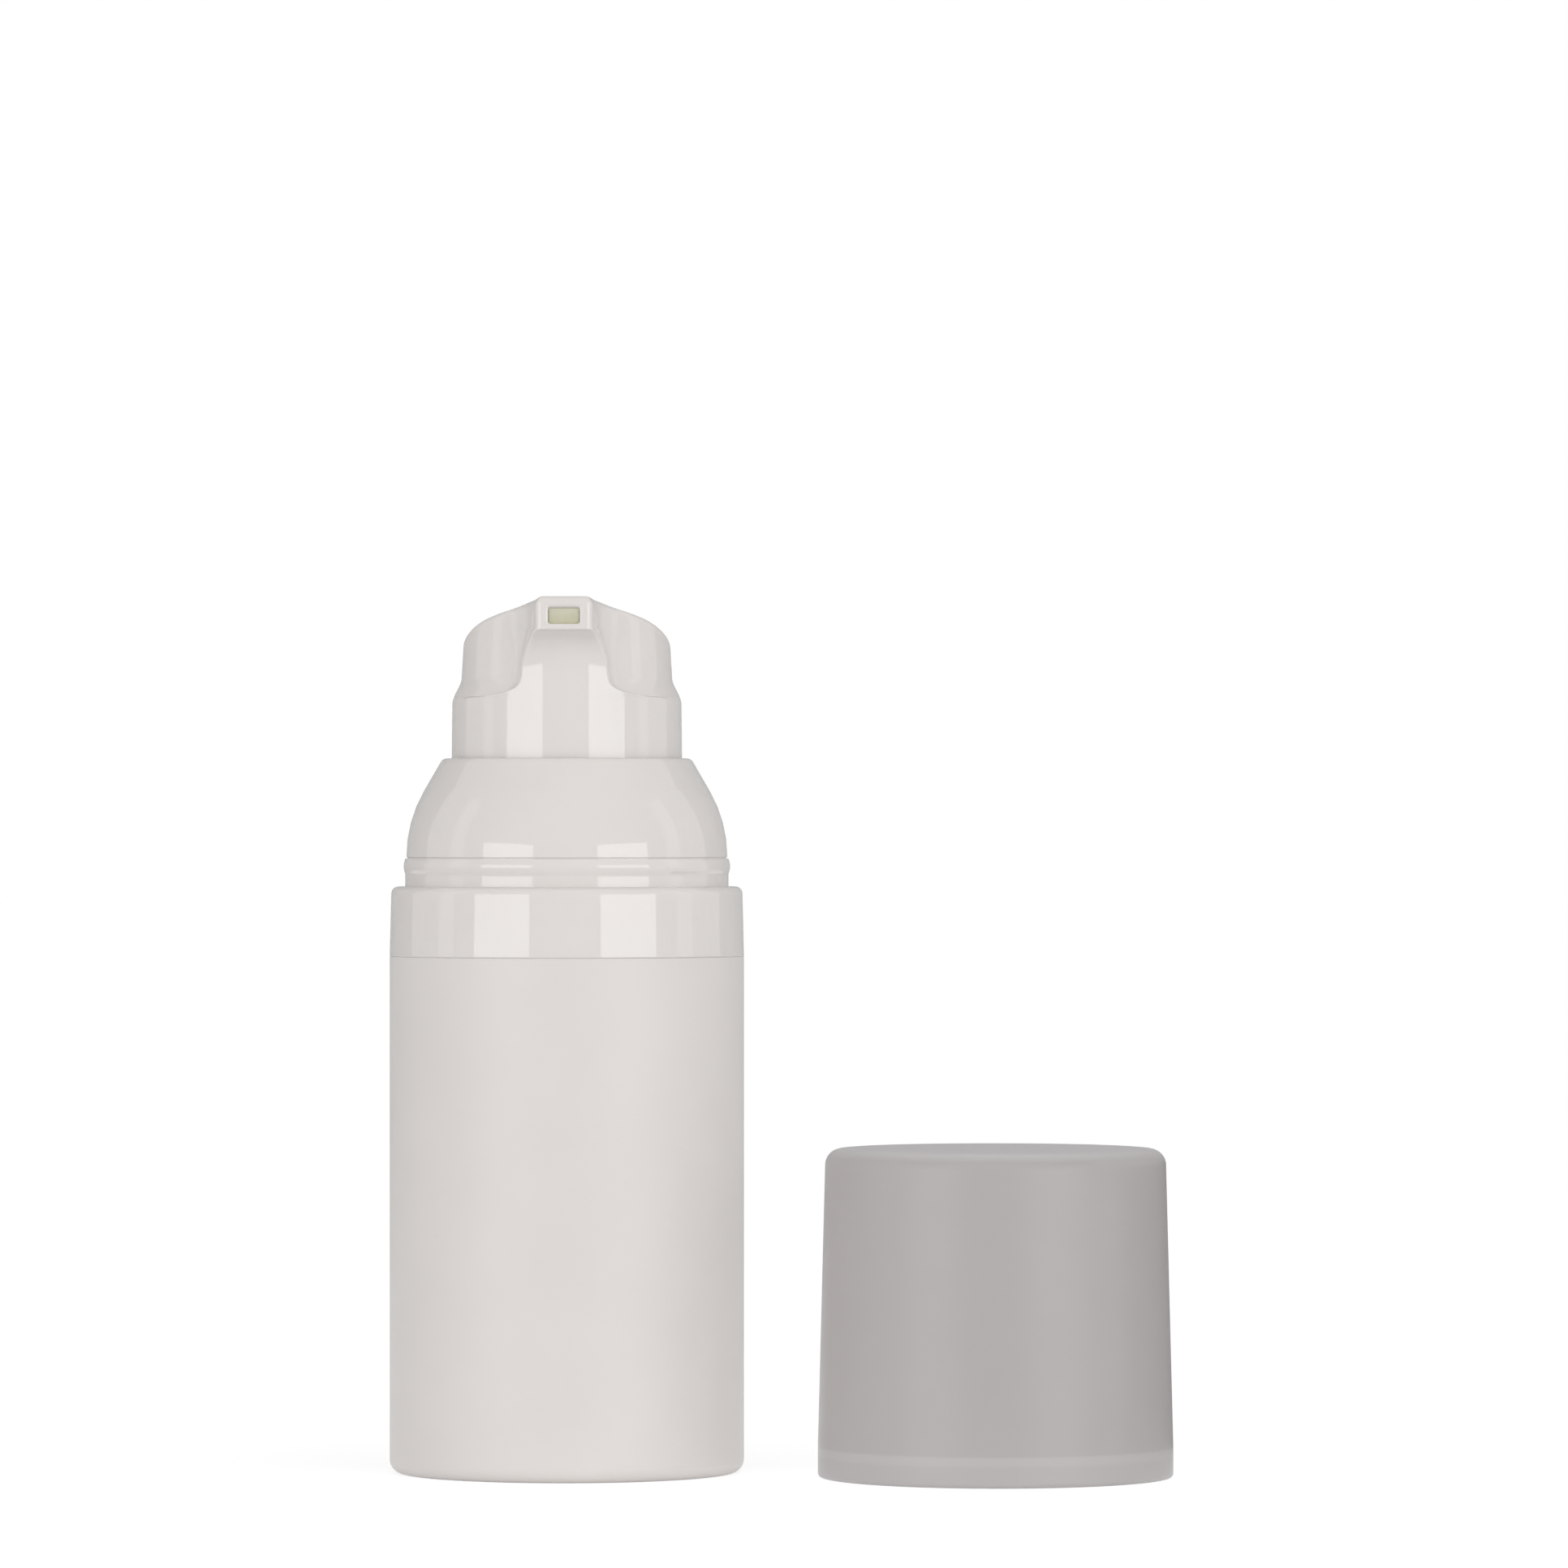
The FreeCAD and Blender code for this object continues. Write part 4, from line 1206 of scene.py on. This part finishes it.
@once
def frosted_clear(name, f):
    """Overcap: frosted natural polypropylene, with painted light: a paler rim band, a paler line above it
    and a painted glint along its top edge.
    """
    c = bpy.context.scene.bottle_cap
    material = plastic(
        name, f.cap_tint, f.cap_roughness, cloud=0.02, cloud_size=12 * MM, grain=0.001 * MM,
        grain_size=0.5 * MM, spread=0.04, **POLYPROPYLENE)
    tree = material.node_tree
    soft = c.groove_depth
    edge_start = c.height - c.edge / 2
    edge_middle = c.height - c.edge / 5
    # Painted light: the rim band and the line above it are painted paler, and the top edge gets a painted
    # glint
    graded(material, [
        (0, f.rim_lift), (c.groove_rise - soft, f.rim_lift), (c.groove_rise + soft, f.line_lift),
        (c.band, f.line_lift), (c.band + soft, 0), (edge_start, 0), (edge_middle, f.edge_lift / 2),
        (c.height, f.edge_lift),
    ])
    milk = node(tree, "BsdfTranslucent", Color=(*f.cap_tint, 1))
    milky = blended(tree, f.cap_milkiness, tree.nodes["Principled BSDF"], milk)
    lit_through = ray_share(tree, f.cap_clearness, "Is Shadow Ray", "Is Diffuse Ray")
    passing = blended(tree, lit_through, milky, node(tree, "BsdfTransparent"))
    tree.links.new(passing.outputs[0], tree.nodes["Material Output"].inputs["Surface"])
    return material


@once
def cream_elastomer(name, f):
    """Nozzle valve: soft cream elastomer, with painted light making its upper side paler."""
    b = bpy.context.scene.bottle_button
    material = plastic(
        name, f.cream, f.cream_roughness, cloud=0.04, cloud_size=0.8 * MM, grain=0.002 * MM,
        grain_size=0.15 * MM, spread=0.05)
    low = b.mouth_middle - b.mouth_height / 2
    # Painted light: the valve's upper side is painted paler than its lower side
    return graded(material, [(low, 0), (low + b.mouth_height, f.valve_lift)])


@once
def valve_elastomer(name, f):
    """Inlet valve: pale elastomer."""
    return plastic(
        name, f.pale_valve, f.valve_roughness, cloud=0.03, cloud_size=2 * MM, grain=0.002 * MM,
        grain_size=0.2 * MM, spread=0.05)


@once
def gasket_foam(name, f):
    """Gasket: closed-cell foam with an open, grainy face."""
    return plastic(
        name, f.foam, f.foam_roughness, cloud=0.05, cloud_size=1.2 * MM, grain=0.03 * MM,
        grain_size=0.3 * MM, spread=0.08)


@once
def natural_polypropylene(name, f):
    """Pump parts: undyed polypropylene, a little milky."""
    return plastic(
        name, f.natural, f.natural_roughness, cloud=0.025, cloud_size=5 * MM, grain=0.001 * MM,
        grain_size=0.3 * MM, spread=0.06, **POLYPROPYLENE)


@once
def natural_polyethylene(name, f):
    """Pistons: waxy polyethylene."""
    return plastic(
        name, f.waxy, f.waxy_roughness, cloud=0.02, cloud_size=6 * MM, grain=0.0015 * MM,
        grain_size=0.4 * MM, spread=0.05, **POLYETHYLENE)


@once
def spring_steel(name, f):
    """Spring: drawn steel wire with fine scratches."""
    return plastic(
        name, f.steel, f.steel_roughness, cloud=0.06, cloud_size=1.5 * MM, grain=0.003 * MM,
        grain_size=0.12 * MM, spread=0.04, Metallic=1.0)


class BottlePanel(bpy.types.Panel):
    """Lists the bottle's pieces, sizes and finishes."""

    bl_idname = "VIEW3D_PT_bottle"
    bl_label = "Airless pump bottle"
    bl_space_type = "VIEW_3D"
    bl_region_type = "UI"
    bl_category = "Bottle"

    def draw(self, context):
        for operator in PIECES:
            self.layout.operator(operator.bl_idname)
        for name in SETTINGS:
            group = getattr(context.scene, name)
            box = self.layout.box()
            for field in group.__annotations__:
                box.prop(group, field)


SETTINGS = {
    "bottle_container": ContainerSizes,
    "bottle_collar": CollarSizes,
    "bottle_button": ButtonSizes,
    "bottle_small": SmallSizes,
    "bottle_cap": CapSizes,
    "bottle_finishes": Finishes,
    "bottle_stage": StageSettings,
}
PIECES = (BuildContainer, BuildCollar, BuildButton, BuildNozzleValve, BuildSpring, BuildOvercap,
          FinishInnerParts, BuildStage)


def register():
    """Adds the settings, the operators and the panel."""
    for name, group in SETTINGS.items():
        bpy.utils.register_class(group)
        setattr(bpy.types.Scene, name, bpy.props.PointerProperty(type=group))
    for entry in (*PIECES, BottlePanel):
        bpy.utils.register_class(entry)


def unregister():
    """Takes the panel, the operators and the settings away again."""
    for entry in (BottlePanel, *reversed(PIECES)):
        bpy.utils.unregister_class(entry)
    for name, group in reversed(SETTINGS.items()):
        delattr(bpy.types.Scene, name)
        bpy.utils.unregister_class(group)


def main():
    """Builds every piece in order."""
    register()
    deselect()
    bpy.ops.bottle.container()
    bpy.ops.bottle.collar()
    bpy.ops.bottle.button()
    bpy.ops.bottle.nozzle_valve()
    bpy.ops.bottle.return_spring()
    bpy.ops.bottle.overcap()
    bpy.ops.bottle.inner_parts()
    bpy.ops.bottle.stage()


if __name__ == "__main__":
    main()
